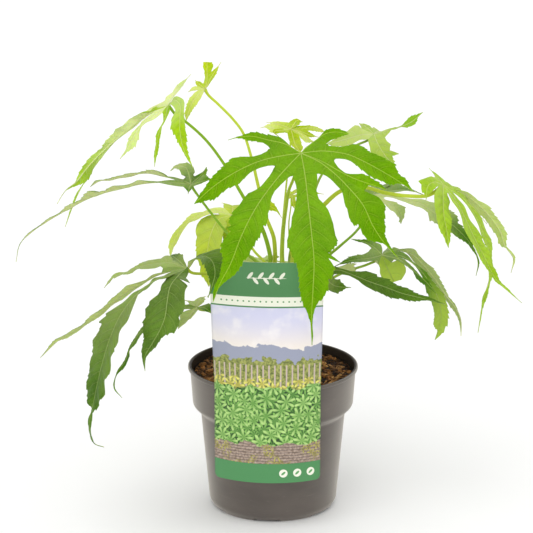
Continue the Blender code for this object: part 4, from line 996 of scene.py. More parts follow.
class Graph:
    """Short ways to add nodes to a node tree. An input is a number, a colour or a socket."""

    def __init__(self, tree):
        self.tree = tree

    def node(self, kind, inputs, **settings):
        made = self.tree.nodes.new(kind)
        for name, value in settings.items():
            setattr(made, name, value)
        for name, value in inputs.items():
            socket = made.inputs[name]
            if isinstance(value, bpy.types.NodeSocket):
                self.tree.links.new(value, socket)
            else:
                socket.default_value = value
        return made

    def math(self, operation, *values, clamp=False):
        made = self.node("ShaderNodeMath", dict(enumerate(values)), operation=operation)
        made.use_clamp = clamp
        return made.outputs[0]

    def plus(self, one, other):
        return self.math("ADD", one, other)

    def less(self, one, other):
        return self.math("SUBTRACT", one, other)

    def times(self, one, other):
        return self.math("MULTIPLY", one, other)

    def fade(self, value, start, end, low=0.0, high=1.0):
        """A smooth step of the value, from `low` at `start` to `high` at `end`."""
        inputs = {"Value": value, "From Min": start, "From Max": end, "To Min": low, "To Max": high}
        made = self.node("ShaderNodeMapRange", inputs, interpolation_type="SMOOTHSTEP")
        return made.outputs["Result"]

    def blend(self, share, one, other):
        """A colour between two colours."""
        made = self.node("ShaderNodeMix", {}, data_type="RGBA")
        for number, value in ((0, share), (6, one), (7, other)):
            if isinstance(value, bpy.types.NodeSocket):
                self.tree.links.new(value, made.inputs[number])
            else:
                made.inputs[number].default_value = value if number == 0 else (*value, 1.0)
        return made.outputs[2]

    def tint(self, colour, mask, strength, other):
        """A colour with another one over it, in that strength where the mask is 1."""
        return self.blend(self.times(mask, strength), colour, other)

    def mottled(self, value, low, high, dark, light):
        """A colour that goes from dark to light as the value goes from low to high."""
        return self.blend(self.fade(value, low, high), dark, light)

    def noise(self, vector, scale, detail=3.0, rough=0.5):
        inputs = {"Vector": vector, "Scale": scale, "Detail": detail, "Roughness": rough}
        return self.node("ShaderNodeTexNoise", inputs).outputs["Fac"]

    def place(self, scale=(1.0, 1.0, 1.0)):
        """The point on the object, in metres, with each axis stretched."""
        point = self.node("ShaderNodeTexCoord", {}).outputs["Object"]
        return self.node("ShaderNodeMapping", {"Vector": point, "Scale": scale}).outputs["Vector"]

    def spots(self, point, scale, inner, outer):
        """Round spots: 1 within `inner` of a middle, falling to 0 at `outer`."""
        cells = self.node("ShaderNodeTexVoronoi", {"Vector": point, "Scale": scale})
        return self.fade(cells.outputs["Distance"], inner, outer, 1.0, 0.0)

    def axes(self, vector):
        """A vector's three numbers, by the names X, Y and Z."""
        return self.node("ShaderNodeSeparateXYZ", {"Vector": vector}).outputs

    def chart(self, name):
        """The two numbers of a UV map."""
        parts = self.axes(self.node("ShaderNodeUVMap", {}, uv_map=name).outputs["UV"])
        return parts["X"], parts["Y"]

    def bump(self, height, distance, strength):
        inputs = {"Height": height, "Distance": distance, "Strength": strength}
        return self.node("ShaderNodeBump", inputs).outputs["Normal"]


class Finish(Graph):
    """A material whose Principled shader has the given constant inputs."""

    def __init__(self, name, **constants):
        self.made = bpy.data.materials.new(name)
        self.made.use_nodes = True
        super().__init__(self.made.node_tree)
        self.sockets = self.tree.nodes["Principled BSDF"].inputs
        for label, value in constants.items():
            self.sockets[label.replace("_", " ")].default_value = value

    def paint(self, colour, rough=None, relief=None):
        """Gives the material, with its colour. The roughness is what `fade` takes, or a socket,
        and the relief is what `bump` takes."""
        self.tree.links.new(colour, self.sockets["Base Color"])
        if rough is not None:
            rough = self.fade(*rough) if isinstance(rough, tuple) else rough
            self.tree.links.new(rough, self.sockets["Roughness"])
            self.tree.links.new(self.bump(*relief), self.sockets["Normal"])
        return self.made


def shade(colour, share):
    return [share * part for part in colour]


def shader_group(name, inputs=()):
    """A new group of shader nodes: the graph in it, and its inputs by name."""
    tree = bpy.data.node_groups.new(name, "ShaderNodeTree")
    for label, kind in inputs:
        tree.interface.new_socket(name=label, in_out="INPUT", socket_type=kind)
    graph = Graph(tree)
    return graph, graph.node("NodeGroupInput", {}).outputs


def group_outputs(graph, outputs):
    """Ends a group of shader nodes with its outputs."""
    for label in outputs:
        graph.tree.interface.new_socket(name=label, in_out="OUTPUT", socket_type="NodeSocketFloat")
    graph.node("NodeGroupOutput", outputs)
    return graph.tree


def vein_group():
    """Where the veins of a leaf lie, and how pale or green it is, from the blade's UV maps, with painted
    shade in the furrows beside the side veins and painted light along the margins.
    """
    graph, _ = shader_group("leaf_veins")
    aside, phase = graph.chart("veins")
    share, length = graph.chart("margins")
    pale, green = graph.chart("light")
    midrib = graph.fade(graph.math("ABSOLUTE", aside), 0.25, 0.8, 1.0, 0.0)
    bent = graph.less(phase, graph.times(graph.math("POWER", share, 2.0), 0.30))
    part = graph.math("FRACT", graph.plus(bent, 0.38))
    near = graph.math("ABSOLUTE", graph.less(part, 0.5))
    side = graph.fade(near, 0.010, 0.050, 1.0, 0.0)
    side = graph.times(side, graph.fade(share, 0.30, 0.95, 1.0, 0.15))
    side = graph.times(side, graph.fade(length, 0.80, 0.95, 1.0, 0.0))
    # Painted shade: the blade darkens in the furrows beside each side vein, where its relief would be in
    # shade.
    painted_furrow_shade = graph.fade(near, 0.05, 0.30, 1.0, 0.0)
    cells = graph.node(
        "ShaderNodeTexVoronoi", {"Vector": graph.place(), "Scale": 420.0}, feature="DISTANCE_TO_EDGE",
    ).outputs["Distance"]
    net = graph.fade(cells, 0.0, 0.14, 1.0, 0.0)
    cushion = graph.math("SINE", graph.times(near, math.pi))
    rise = graph.less(graph.less(cushion, graph.times(side, 0.35)), graph.times(net, 0.10))
    return group_outputs(graph, {
        "Midrib": midrib,
        "Side veins": side,
        "Furrows": graph.times(painted_furrow_shade, graph.fade(share, 0.1, 0.9, 1.0, 0.3)),
        "Net": net,
        "Patches": graph.noise(graph.place(), 34.0, 4.0, 0.6),
        "Rise": graph.plus(rise, graph.times(midrib, 0.5)),
        # Painted light: the margins of the outer part of each finger are lightened, as if light shone
        # through them.
        "Edge": graph.times(graph.fade(share, 0.94, 1.0), graph.fade(length, 0.3, 0.6)),
        "Pale": pale,
        "Green": green,
    })


# The undersides' colours are a paler green, brightened further as painted light shining through the
# blade.
LeafFinish = namedtuple("LeafFinish", "deep bright vein under under_vein stalk glow gloss joint_light")
LEAF_FINISHES = {kind: LeafFinish(*row) for kind, *row in (
    ("fresh", (0.100, 0.264, 0.000), (0.148, 0.340, 0.001), (0.34, 0.54, 0.03), (0.30, 0.44, 0.06),
     (0.46, 0.60, 0.20), (0.44, 0.60, 0.05), (0.22, 0.42, 0.01), 0.02, 0.12),
    ("young", (0.33, 0.46, 0.002), (0.50, 0.60, 0.008), (0.60, 0.70, 0.10), (0.66, 0.74, 0.20),
     (0.74, 0.80, 0.36), (0.54, 0.66, 0.05), (0.55, 0.64, 0.02), 0.04, 0.2),
    ("spring", (0.24, 0.44, 0.001), (0.35, 0.54, 0.006), (0.50, 0.66, 0.10), (0.72, 0.78, 0.36),
     (0.80, 0.84, 0.50), (0.27, 0.48, 0.02), (0.42, 0.58, 0.02), 0.04, 0.15),
    ("light", (0.27, 0.45, 0.006), (0.36, 0.54, 0.030), (0.50, 0.64, 0.12), (0.56, 0.62, 0.24),
     (0.64, 0.70, 0.36), (0.54, 0.66, 0.05), (0.44, 0.58, 0.06), 0.06, 0.12),
    ("pale", (0.21, 0.39, 0.004), (0.33, 0.47, 0.020), (0.50, 0.62, 0.18), (0.58, 0.65, 0.22),
     (0.66, 0.72, 0.36), (0.30, 0.45, 0.06), (0.22, 0.42, 0.01), 0.06, 0.3),
    ("grey", (0.036, 0.145, 0.002), (0.105, 0.24, 0.010), (0.27, 0.40, 0.07), (0.58, 0.64, 0.27),
     (0.68, 0.72, 0.38), (0.25, 0.45, 0.03), (0.44, 0.56, 0.08), 0.05, 0.3),
    # The darker green of the low leaves, deepened as painted shade.
    ("dark", (0.040, 0.110, 0.003), (0.088, 0.188, 0.012), (0.24, 0.36, 0.08), (0.48, 0.56, 0.19),
     (0.58, 0.64, 0.28), (0.44, 0.54, 0.03), (0.20, 0.32, 0.04), 0.06, 0.35),
)}


def leaf_finishes(veins):
    """The upper side, underside and rib of each kind of leaf."""
    made = {}
    for kind, greens in LEAF_FINISHES.items():
        common = {"Subsurface_Scale": 0.0012, "Specular_IOR_Level": greens.gloss}
        sides = []
        # Each side: its tones, its vein colour, its roughness and how dark its painted furrow shade is.
        for side, low, high, vein, rough, furrow_shade_strength in (
            ("upper", greens.deep, greens.bright, greens.vein, 0.40, 0.40),
            # The underside's tones, brightened as painted light shining through.
            ("under", shade(greens.under, 0.86), greens.under, greens.under_vein, 0.60, 0.25),
        ):
            graph = Finish(f"leaf_{kind}_{side}", Subsurface_Weight=0.25,
                           Subsurface_Radius=(0.6, 1.0, 0.1), **common)
            read = graph.node("ShaderNodeGroup", {}, node_tree=veins).outputs
            colour = graph.mottled(read["Patches"], 0.32, 0.68, low, high)
            # Painted shade in the furrows beside the side veins.
            colour = graph.tint(colour, read["Furrows"], furrow_shade_strength, shade(low, 0.55))
            if side == "upper":
                colour = graph.blend(read["Pale"], colour, greens.under)
                colour = graph.blend(read["Green"], colour, greens.glow)
                vein = graph.blend(read["Pale"], vein, greens.under_vein)
            else:
                colour = graph.blend(read["Green"], colour, greens.bright)
            # Vein colours, and painted light along the margins.
            veined = (("Net", 0.16), ("Side veins", 0.42), ("Edge", 0.30), ("Midrib", 0.70))
            for label, strength in veined:
                colour = graph.tint(colour, read[label], strength, vein)
            gloss = (graph.noise(graph.place(), 260.0), 0.3, 0.7, rough - 0.05, rough + 0.08)
            sides.append(graph.paint(colour, gloss, (read["Rise"], 0.0004, 0.6)))
        graph = Finish(f"leaf_{kind}_rib", Subsurface_Weight=0.2,
                       Subsurface_Radius=(0.6, 1.0, 0.15), **common)
        grain = graph.noise(graph.place(), 300.0)
        vein = [(one + other) / 2 for one, other in zip(greens.vein, greens.under_vein)]
        colour = graph.mottled(grain, 0.3, 0.7, shade(vein, 0.86), vein)
        rib = graph.paint(colour, (grain, 0.2, 0.8, 0.38, 0.52), (grain, 0.0002, 0.4))
        made[kind] = (*sides, rib)
    return made


def stalk_finish(kind, green):
    """Smooth skin with faint lines along it and small pale dots, yellower low down."""
    graph = Finish(f"stalk_{kind}", Subsurface_Weight=0.15, Subsurface_Scale=0.002,
                   Subsurface_Radius=(0.6, 1.0, 0.2), Specular_IOR_Level=0.12)
    lines = graph.noise(graph.place((1.0, 1.0, 0.12)), 900.0, 2.0)
    colour = graph.mottled(graph.noise(graph.place(), 22.0), 0.35, 0.65, shade(green, 0.86), green)
    height = graph.axes(graph.place())["Z"]
    colour = graph.blend(graph.fade(height, 0.21, 0.29, 0.75, 0.0), colour, (0.42, 0.52, 0.08))
    colour = graph.tint(colour, lines, 0.20, shade(green, 0.6))
    colour = graph.tint(colour, graph.spots(graph.place(), 320.0, 0.10, 0.22), 0.25, (0.60, 0.66, 0.25))
    return graph.paint(colour, (lines, 0.2, 0.8, 0.36, 0.50), (lines, 0.0002, 0.5))


def bark_finish():
    """Green-brown young bark with lenticels."""
    graph = Finish("stem_bark")
    grain = graph.noise(graph.place((1.0, 1.0, 0.25)), 420.0, 5.0, 0.6)
    spots = graph.spots(graph.place((1.0, 1.0, 0.5)), 300.0, 0.12, 0.25)
    tone = graph.noise(graph.place(), 60.0)
    colour = graph.mottled(tone, 0.35, 0.65, (0.14, 0.20, 0.03), (0.22, 0.18, 0.06))
    colour = graph.tint(colour, grain, 0.6, (0.08, 0.07, 0.03))
    colour = graph.tint(colour, spots, 0.6, (0.34, 0.30, 0.16))
    height = graph.plus(grain, spots)
    return graph.paint(colour, (grain, 0.3, 0.7, 0.55, 0.80), (height, 0.0005, 0.8))


def pot_finish(name, stain):
    """Thin moulded plastic: satin, warm grey, with faint rings from the mould and pale scuffs. The last
    argument is how far it is painted dark as shade, as on the inside of the pot."""
    graph = Finish(
        name, Specular_IOR_Level=between(0.36, 0.08, stain), Sheen_Weight=between(0.55, 0.0, stain),
        Sheen_Roughness=0.45, Sheen_Tint=(1.0, 0.93, 0.82, 1.0),
    )
    grain = graph.noise(graph.place(), 1800.0, 2.0)
    cloud = graph.noise(graph.place((1.0, 1.0, 2.5)), 18.0, 4.0)
    rings = graph.noise(graph.place((0.02, 0.02, 1.0)), 700.0, 1.0)
    scuffs = graph.fade(graph.noise(graph.place((1.0, 1.0, 6.0)), 60.0, 6.0, 0.7), 0.58, 0.72)
    colour = graph.mottled(cloud, 0.3, 0.7, (0.082, 0.069, 0.060), (0.106, 0.089, 0.077))
    colour = graph.tint(colour, scuffs, 0.30, (0.22, 0.19, 0.165))
    # Painted shade: the plastic goes nearly black, as in the shade inside the pot.
    stained = graph.fade(cloud, 0.3, 0.7, 0.80 * stain, stain)
    colour = graph.blend(stained, colour, (0.022, 0.015, 0.010))
    rough = graph.plus(graph.fade(cloud, 0.3, 0.7, 0.36, 0.46), graph.times(scuffs, 0.15))
    height = graph.plus(graph.times(grain, 0.25), graph.times(rings, 0.6))
    return graph.paint(colour, rough, (height, 0.0002, 0.5))


def soil_finishes():
    """The tones of the bed, the crumbs, the lumps and the bark chips. Each piece has a tone of its
    own, kept in the attribute `tone`."""
    made = []
    for name, dark, light in (
        ("soil_bed", (0.006, 0.003, 0.001), (0.022, 0.010, 0.004)),
        ("soil_crumbs", (0.012, 0.005, 0.002), (0.13, 0.052, 0.014)),
        ("soil_lumps", (0.030, 0.012, 0.003), (0.34, 0.140, 0.035)),
        ("soil_chips", (0.090, 0.036, 0.009), (0.60, 0.32, 0.110)),
    ):
        graph = Finish(name, Specular_IOR_Level=0.20)
        grain = graph.noise(graph.place(), 900.0, 5.0, 0.7)
        patch = graph.fade(graph.noise(graph.place(), 260.0, 3.0, 0.6), 0.35, 0.65, -0.2, 0.35)
        tone = graph.node("ShaderNodeAttribute", {}, attribute_name="tone").outputs["Fac"]
        share = graph.math("ADD", graph.times(tone, 0.75), patch, clamp=True)
        colour = graph.blend(share, dark, light)
        colour = graph.blend(graph.fade(grain, 0.45, 0.75, 0.0, 0.6), colour, dark)
        made.append(graph.paint(colour, (grain, 0.3, 0.7, 0.75, 0.95), (grain, 0.0006, 0.9)))
    return made


def pot_inner_radius(height):
    """The radius of the pot's inside at a height."""
    heights = (FOOT_BEND_HEIGHT, BODY_TOP_HEIGHT, COLLAR_FOOT_HEIGHT, POT_HEIGHT - LIP_HEIGHT)
    radii = (BODY_FOOT_RADIUS, BODY_TOP_RADIUS, COLLAR_FOOT_RADIUS, COLLAR_TOP_RADIUS)
    return float(np.interp(height, heights, radii)) - WALL


def rounded(corners, steps=5):
    """A profile with each corner rounded. A corner is (radius, height, rounding)."""
    points = []
    for number, (across, height, rounding) in enumerate(corners):
        here = np.array((across, height))
        if not rounding:
            points.append(here)
            continue
        before = np.array(corners[number - 1][:2]) - here
        after = np.array(corners[number + 1][:2]) - here
        start, end = here + unit(before) * rounding, here + unit(after) * rounding
        for step in range(steps + 1):
            t = step / steps
            points.append(start * (1 - t) ** 2 + here * 2 * t * (1 - t) + end * t**2)
    return points


def turned(name, profile, sides, *materials):
    """A solid of revolution about Z from a profile in mm that runs down its outer side."""
    shape = bmesh.new()
    points = [shape.verts.new((across * MM, 0.0, height * MM)) for across, height in profile]
    for above, below in zip(points, points[1:]):
        shape.edges.new((above, below))
    made = to_object(name, shape, *materials)
    spin = made.modifiers.new("Turn", "SCREW")
    spin.axis = "Z"
    spin.angle = math.tau
    spin.steps = spin.render_steps = sides
    spin.use_merge_vertices = True
    spin.merge_threshold = 0.00001
    return made


def make_pot(plastic, stained):
    """The pot, with its rolled lip, the collar, and the drains moulded in its foot. Its wall inside,
    above the soil, and the inner top of its lip are painted dark as shade."""
    lip_foot = POT_HEIGHT - LIP_HEIGHT
    pot = turned("nursery_pot", rounded((
        (0.0, FLOOR, 0.0),
        (pot_inner_radius(0.0) - 2.0, FLOOR, 2.0),
        (pot_inner_radius(FOOT_BEND_HEIGHT), FOOT_BEND_HEIGHT, 1.5),
        (pot_inner_radius(BODY_TOP_HEIGHT), BODY_TOP_HEIGHT, 2.0),
        (pot_inner_radius(COLLAR_FOOT_HEIGHT), COLLAR_FOOT_HEIGHT, 2.0),
        (pot_inner_radius(lip_foot), POT_HEIGHT, 1.6),
        (RIM_RADIUS, POT_HEIGHT, 1.3),
        (RIM_RADIUS, lip_foot, 0.9),
        (COLLAR_TOP_RADIUS, lip_foot, 0.8),
        (COLLAR_FOOT_RADIUS, COLLAR_FOOT_HEIGHT - 0.6, 2.4),
        (BODY_TOP_RADIUS, BODY_TOP_HEIGHT - 1.5, 2.2),
        (BODY_FOOT_RADIUS, FOOT_BEND_HEIGHT, 3.0),
        (FOOT_RADIUS, 0.0, 1.6),
        (0.0, 0.0, 0.0),
    )), POT_SIDES, plastic, stained)
    channels, holes = bmesh.new(), bmesh.new()
    reach = BODY_FOOT_RADIUS + 10.0 - CHANNEL_INNER_RADIUS
    channel_at = Matrix.Translation(Vector((CHANNEL_INNER_RADIUS + reach / 2, 0.0, 0.0)) * MM)
    channel_at @= Matrix.Diagonal((reach * MM, CHANNEL_WIDTH * MM, CHANNEL_DEPTH * 2 * MM, 1.0))
    hole_at = Matrix.Translation(Vector((DRAIN_HOLE_AT, 0.0, FLOOR)) * MM)
    for number in range(DRAINS):
        spoke = Matrix.Rotation(math.radians(DRAIN_START_DEG) + number * math.tau / DRAINS, 4, "Z")
        bmesh.ops.create_cube(channels, size=1.0, matrix=spoke @ channel_at)
        bmesh.ops.create_cone(
            holes, cap_ends=True, segments=DRAIN_HOLE_SIDES, radius1=DRAIN_HOLE_RADIUS * MM,
            radius2=DRAIN_HOLE_RADIUS * MM, depth=FLOOR * 3 * MM, matrix=spoke @ hole_at,
        )
    cutters = [to_object("channel_cutter", channels), to_object("hole_cutter", holes)]
    for cutter in cutters:
        boolean = pot.modifiers.new("Cut", "BOOLEAN")
        boolean.operation = "DIFFERENCE"
        boolean.object = cutter
    settle(pot)
    for cutter in cutters:
        bpy.data.objects.remove(cutter)
    for face in pot.data.polygons:
        radius = math.hypot(face.center.x, face.center.y) / MM
        height = face.center.z / MM
        # The inside and the inner top of the lip take the finish with painted shade.
        inner = height > COLLAR_FOOT_HEIGHT and radius < pot_inner_radius(height) + WALL / 2
        face.material_index = int(inner or height > lip_foot and radius < RIM_RADIUS - LIP_EDGE)
    pot.data.shade_smooth()
    pot.data.set_sharp_from_angle(angle=math.radians(SHARP_EDGE_DEG))
    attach(pot, "root")
    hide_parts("pot")
    return pot


def soil_height(across, back):
    """The height of the soil: uneven, and pushed down where the label's tongue goes in."""
    reach = math.hypot(across, back) / (pot_inner_radius(SOIL_EDGE_HEIGHT) - GAP)
    height = between(SOIL_CROWN_HEIGHT, SOIL_EDGE_HEIGHT, reach**2)
    place = Vector((across, back, 0.0))
    height += sum(rise * noise.noise(place * often) for often, rise in SOIL_WAVES) - SOIL_DROP
    beside = float(ease((abs(across) - POCKET_HALF_WIDTH) / POCKET_EDGE))
    behind = float(ease((back - POCKET_BACK) / POCKET_EDGE))
    return between(min(height, POCKET_HEIGHT), height, max(beside, behind))


def make_soil(finishes):
    """The bed of peat, with crumbs, lumps and bark chips strewn over it."""
    radius = pot_inner_radius(SOIL_EDGE_HEIGHT) - GAP
    shape = bmesh.new()
    centre = shape.verts.new(Vector((0.0, 0.0, soil_height(0.0, 0.0))) * MM)
    profile = [(radius * ring / SOIL_RINGS, None) for ring in range(1, SOIL_RINGS + 1)]
    profile += [
        (pot_inner_radius(COLLAR_FOOT_HEIGHT) - GAP - 0.3, COLLAR_FOOT_HEIGHT + 0.5),
        (pot_inner_radius(BODY_TOP_HEIGHT) - GAP, BODY_TOP_HEIGHT + 0.5),
        (pot_inner_radius(FOOT_BEND_HEIGHT) - GAP, FOOT_BEND_HEIGHT + 0.5),
        (pot_inner_radius(0.0) - 3.5, FLOOR + GAP),
    ]
    circles = []
    for reach, height in profile:
        circle = []
        for step in range(SOIL_SIDES):
            angle = math.tau * step / SOIL_SIDES
            across, back = reach * math.cos(angle), reach * math.sin(angle)
            tall = soil_height(across, back) if height is None else height
            circle.append(shape.verts.new(Vector((across, back, tall)) * MM))
        circles.append(circle)
    for step in range(SOIL_SIDES):
        after = (step + 1) % SOIL_SIDES
        shape.faces.new((centre, circles[0][step], circles[0][after]))
        for inner, outer in zip(circles, circles[1:]):
            shape.faces.new((inner[step], outer[step], outer[after], inner[after]))
    shape.faces.new(circles[-1][::-1])
    bmesh.ops.recalc_face_normals(shape, faces=shape.faces)
    bed = to_object("soil_bed", shape, finishes[0])
    bed.data.shade_smooth()
    pieces = []
    for (name, margin, density, sizes), seed, material in zip(STREWN, (5, 8, 11), finishes[1:]):
        strewn = bmesh.new()
        strewn.from_mesh(bed.data)
        limit = (radius - margin) * MM
        outside = [face for face in strewn.faces
                   if face.normal.z < 0.5 or face.calc_center_median().xy.length > limit]
        bmesh.ops.delete(strewn, geom=outside, context="FACES")
        piece = to_object(name, strewn)
        strew = piece.modifiers.new("Strew", "NODES")
        strew.node_group = tree = strew_tree(name, sizes)
        sockets = {item.name: item.identifier for item in tree.interface.items_tree
                   if item.in_out == "INPUT"}
        strew[sockets["Density"]] = density
        strew[sockets["Seed"]] = seed
        strew[sockets["Finish"]] = material
        pieces.append(settle(piece))
    for piece in (bed, *pieces):
        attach(piece, "root")
    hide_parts("soil")
    return bed


# What lies on the soil: how far it keeps from the wall in mm, how many to a square metre, and the
# smallest and largest half sizes in mm.
STREWN = (
    ("soil_crumbs", 1.6, 125000.0, ((0.5, 0.4, 0.4), (1.5, 1.1, 0.9))),
    ("soil_lumps", 4.0, 26000.0, ((1.5, 1.0, 0.8), (4.6, 2.8, 1.8))),
    ("soil_chips", 8.5, 13000.0, ((3.2, 0.8, 0.5), (8.6, 2.4, 1.1))),
)


def strew_tree(name, sizes):
    """Geometry nodes that strew rough-hewn pieces over a surface, lying nearly flat."""
    tree = bpy.data.node_groups.new(name, "GeometryNodeTree")
    for label, socket in (("Geometry", "NodeSocketGeometry"), ("Density", "NodeSocketFloat"),
                          ("Seed", "NodeSocketInt"), ("Finish", "NodeSocketMaterial")):
        tree.interface.new_socket(name=label, in_out="INPUT", socket_type=socket)
    tree.interface.new_socket(name="Geometry", in_out="OUTPUT", socket_type="NodeSocketGeometry")
    graph = Graph(tree)
    given = graph.node("NodeGroupInput", {}).outputs

    def shaped(kind, inputs, output="Geometry", **settings):
        return graph.node("GeometryNode" + kind, inputs, **settings).outputs[output]

    def chosen(seed, low, high):
        return graph.node("FunctionNodeRandomValue", {0: low, 1: high, "Seed": seed},
                          data_type="FLOAT_VECTOR").outputs[0]

    def vectors(operation, inputs):
        return graph.node("ShaderNodeVectorMath", inputs, operation=operation).outputs["Vector"]

    points = shaped("DistributePointsOnFaces", {
        "Mesh": given["Geometry"], "Density": given["Density"], "Seed": given["Seed"],
    }, "Points")
    block = shaped("MeshCube", {
        "Size": (2.0, 2.0, 2.0), "Vertices X": 4, "Vertices Y": 3, "Vertices Z": 3,
    }, "Mesh")
    where = shaped("InputPosition", {}, "Position")
    part_way = graph.node("ShaderNodeMix", {
        0: BLOCK_ROUNDING, 4: where, 5: vectors("NORMALIZE", {0: where}),
    }, data_type="VECTOR").outputs[1]
    strewn = shaped("InstanceOnPoints", {
        "Points": points, "Instance": shaped("SetPosition", {"Geometry": block, "Position": part_way}),
        "Rotation": chosen(4, (-0.5, -0.35, 0.0), (0.5, 0.35, math.tau)),
        "Scale": chosen(3, *(shade(size, MM) for size in sizes)),
    }, "Instances")
    tone = graph.node("FunctionNodeRandomValue", {"Seed": 9}, data_type="FLOAT").outputs[1]
    strewn = shaped("StoreNamedAttribute", {"Geometry": strewn, "Name": "tone", "Value": tone},
                    domain="INSTANCE", data_type="FLOAT")
    strewn = shaped("RealizeInstances", {"Geometry": strewn})
    rough = graph.node("ShaderNodeTexNoise", {"Scale": 420.0, "Detail": 3.0}).outputs["Color"]
    shift = vectors("SUBTRACT", {0: rough, 1: (0.5, 0.5, 0.5)})
    shift = vectors("SCALE", {0: shift, "Scale": 0.9 * sizes[1][1] * MM})
    strewn = shaped("SetPosition", {"Geometry": strewn, "Offset": shift})
    strewn = shaped("SetMaterial", {"Geometry": strewn, "Material": given["Finish"]})
    graph.node("NodeGroupOutput", {"Geometry": strewn})
    return tree


def label_half_width(height):
    """Half the label's width, measured along the card, at a height."""
    above_foot = height - LABEL_FOOT_HEIGHT
    below_top = LABEL_TOP_HEIGHT - height
    if above_foot < LABEL_CORNER:
        drop = LABEL_CORNER - above_foot
        return LABEL_HALF_WIDTH - LABEL_CORNER + math.sqrt(LABEL_CORNER**2 - drop**2)
    if below_top < LABEL_SHOULDER:
        share = below_top / LABEL_SHOULDER
        flare = math.sin(share * math.pi / 2) ** 0.8
        return between(LABEL_TOP_HALF_WIDTH, LABEL_HALF_WIDTH, flare)
    return LABEL_HALF_WIDTH


def label_point(along, height):
    """A point of the card, `along` mm from its centre line. It is bent round the pot and flatter
    towards its top."""
    share = max(0.0, (height - POT_HEIGHT) / (LABEL_TOP_HEIGHT - POT_HEIGHT))
    radius = LABEL_BEND_RADIUS / (1.0 - LABEL_FLATTENING * share)
    angle = along / radius
    flat = Vector((radius * math.sin(angle), LABEL_FRONT + radius * (1.0 - math.cos(angle)), height))
    return Matrix.Rotation(math.radians(LABEL_TURN_DEG), 3, "Z") @ flat


def card_sheet(name, rows, charts, thickness, *materials):
    """A thin card from rows of points in mm. Its UV map `print` holds `charts`, one pair a point."""
    shape = bmesh.new()
    layer = shape.loops.layers.uv.new("print")
    grid = [[shape.verts.new(Vector(point) * MM) for point in row] for row in rows]
    for _, loops in grid_faces(shape, grid, True):
        for loop, (row, column) in loops:
            loop[layer].uv = charts[row][column]
    made = to_object(name, shape, *materials)
    wall = made.modifiers.new("Thickness", "SOLIDIFY")
    wall.thickness = thickness * MM
    wall.offset = 0.0
    wall.material_offset = len(materials) - 1
    wall.material_offset_rim = len(materials) - 1
    settle(made)
    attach(made, "root")
    return made


def make_label(front, back):
    """The picture label: a tall card, printed on its front."""
    foot, shoulder = LABEL_FOOT_HEIGHT, LABEL_TOP_HEIGHT - LABEL_SHOULDER
    heights = [foot + LABEL_CORNER * (1.0 - math.cos(step * math.pi / 16)) for step in range(9)]
    heights += list(np.linspace(foot + LABEL_CORNER, shoulder, 60))[1:]
    heights += [shoulder + LABEL_SHOULDER * math.sin(step * math.pi / 48) for step in range(1, 25)]
    rows, charts = [], []
    for height in heights:
        half = label_half_width(height)
        across = [half * (2.0 * column / LABEL_COLUMNS - 1.0) for column in range(LABEL_COLUMNS + 1)]
        rows.append([label_point(along, height) for along in across])
        charts.append([(along, height - foot) for along in across])
    made = card_sheet("label_card", rows, charts, LABEL_THICKNESS, front, back)
    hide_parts("label")
    return made


def make_label_hook(plastic):
    """The tongue on the label's back, over the rim and down inside the pot."""
    back = -LABEL_FRONT - (LABEL_THICKNESS + HOOK_THICKNESS) / 2 - GAP
    inside = pot_inner_radius(POT_HEIGHT) - GAP - HOOK_THICKNESS - 0.3
    over = POT_HEIGHT + HOOK_THICKNESS / 2 + GAP + 0.1
    path = rounded((
        (inside - 0.3, HOOK_FOOT_HEIGHT, 0.0), (inside, over, 2.4), (back, over, 3.2),
        (back, 170.0, 0.0), (back, HOOK_TOP_HEIGHT, 0.0),
    ), 8)
    turn, reach = math.radians(LABEL_TURN_DEG), math.radians(HOOK_HALF_ANGLE_DEG)
    rows, charts = [], []
    for radius, height in path:
        angles = [turn + reach * (2.0 * column / HOOK_COLUMNS - 1.0)
                  for column in range(HOOK_COLUMNS + 1)]
        rows.append([(radius * math.sin(angle), -radius * math.cos(angle), height) for angle in angles])
        charts.append([(0.0, 0.0)] * (HOOK_COLUMNS + 1))
    made = card_sheet("label_tongue", rows, charts, HOOK_THICKNESS, plastic)
    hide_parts("label_hook")
    return made


OVAL_SIZES = ("Centre along", "Centre height", "Half width", "Half height", "Turn")


def oval_group():
    """A soft-edged oval on the label, from its centre, half sizes and turn."""
    inputs = [(label, "NodeSocketFloat") for label in ("Along", "Height", *OVAL_SIZES)]
    graph, read = shader_group("label_oval", inputs)
    along = graph.less(read["Along"], read["Centre along"])
    height = graph.less(read["Height"], read["Centre height"])
    cosine, sine = graph.math("COSINE", read["Turn"]), graph.math("SINE", read["Turn"])
    one = graph.plus(graph.times(along, cosine), graph.times(height, sine))
    two = graph.less(graph.times(height, cosine), graph.times(along, sine))
    one = graph.math("POWER", graph.math("DIVIDE", one, read["Half width"]), 2.0)
    two = graph.math("POWER", graph.math("DIVIDE", two, read["Half height"]), 2.0)
    return group_outputs(graph, {"Mask": graph.fade(graph.plus(one, two), 0.94, 1.04, 1.0, 0.0)})


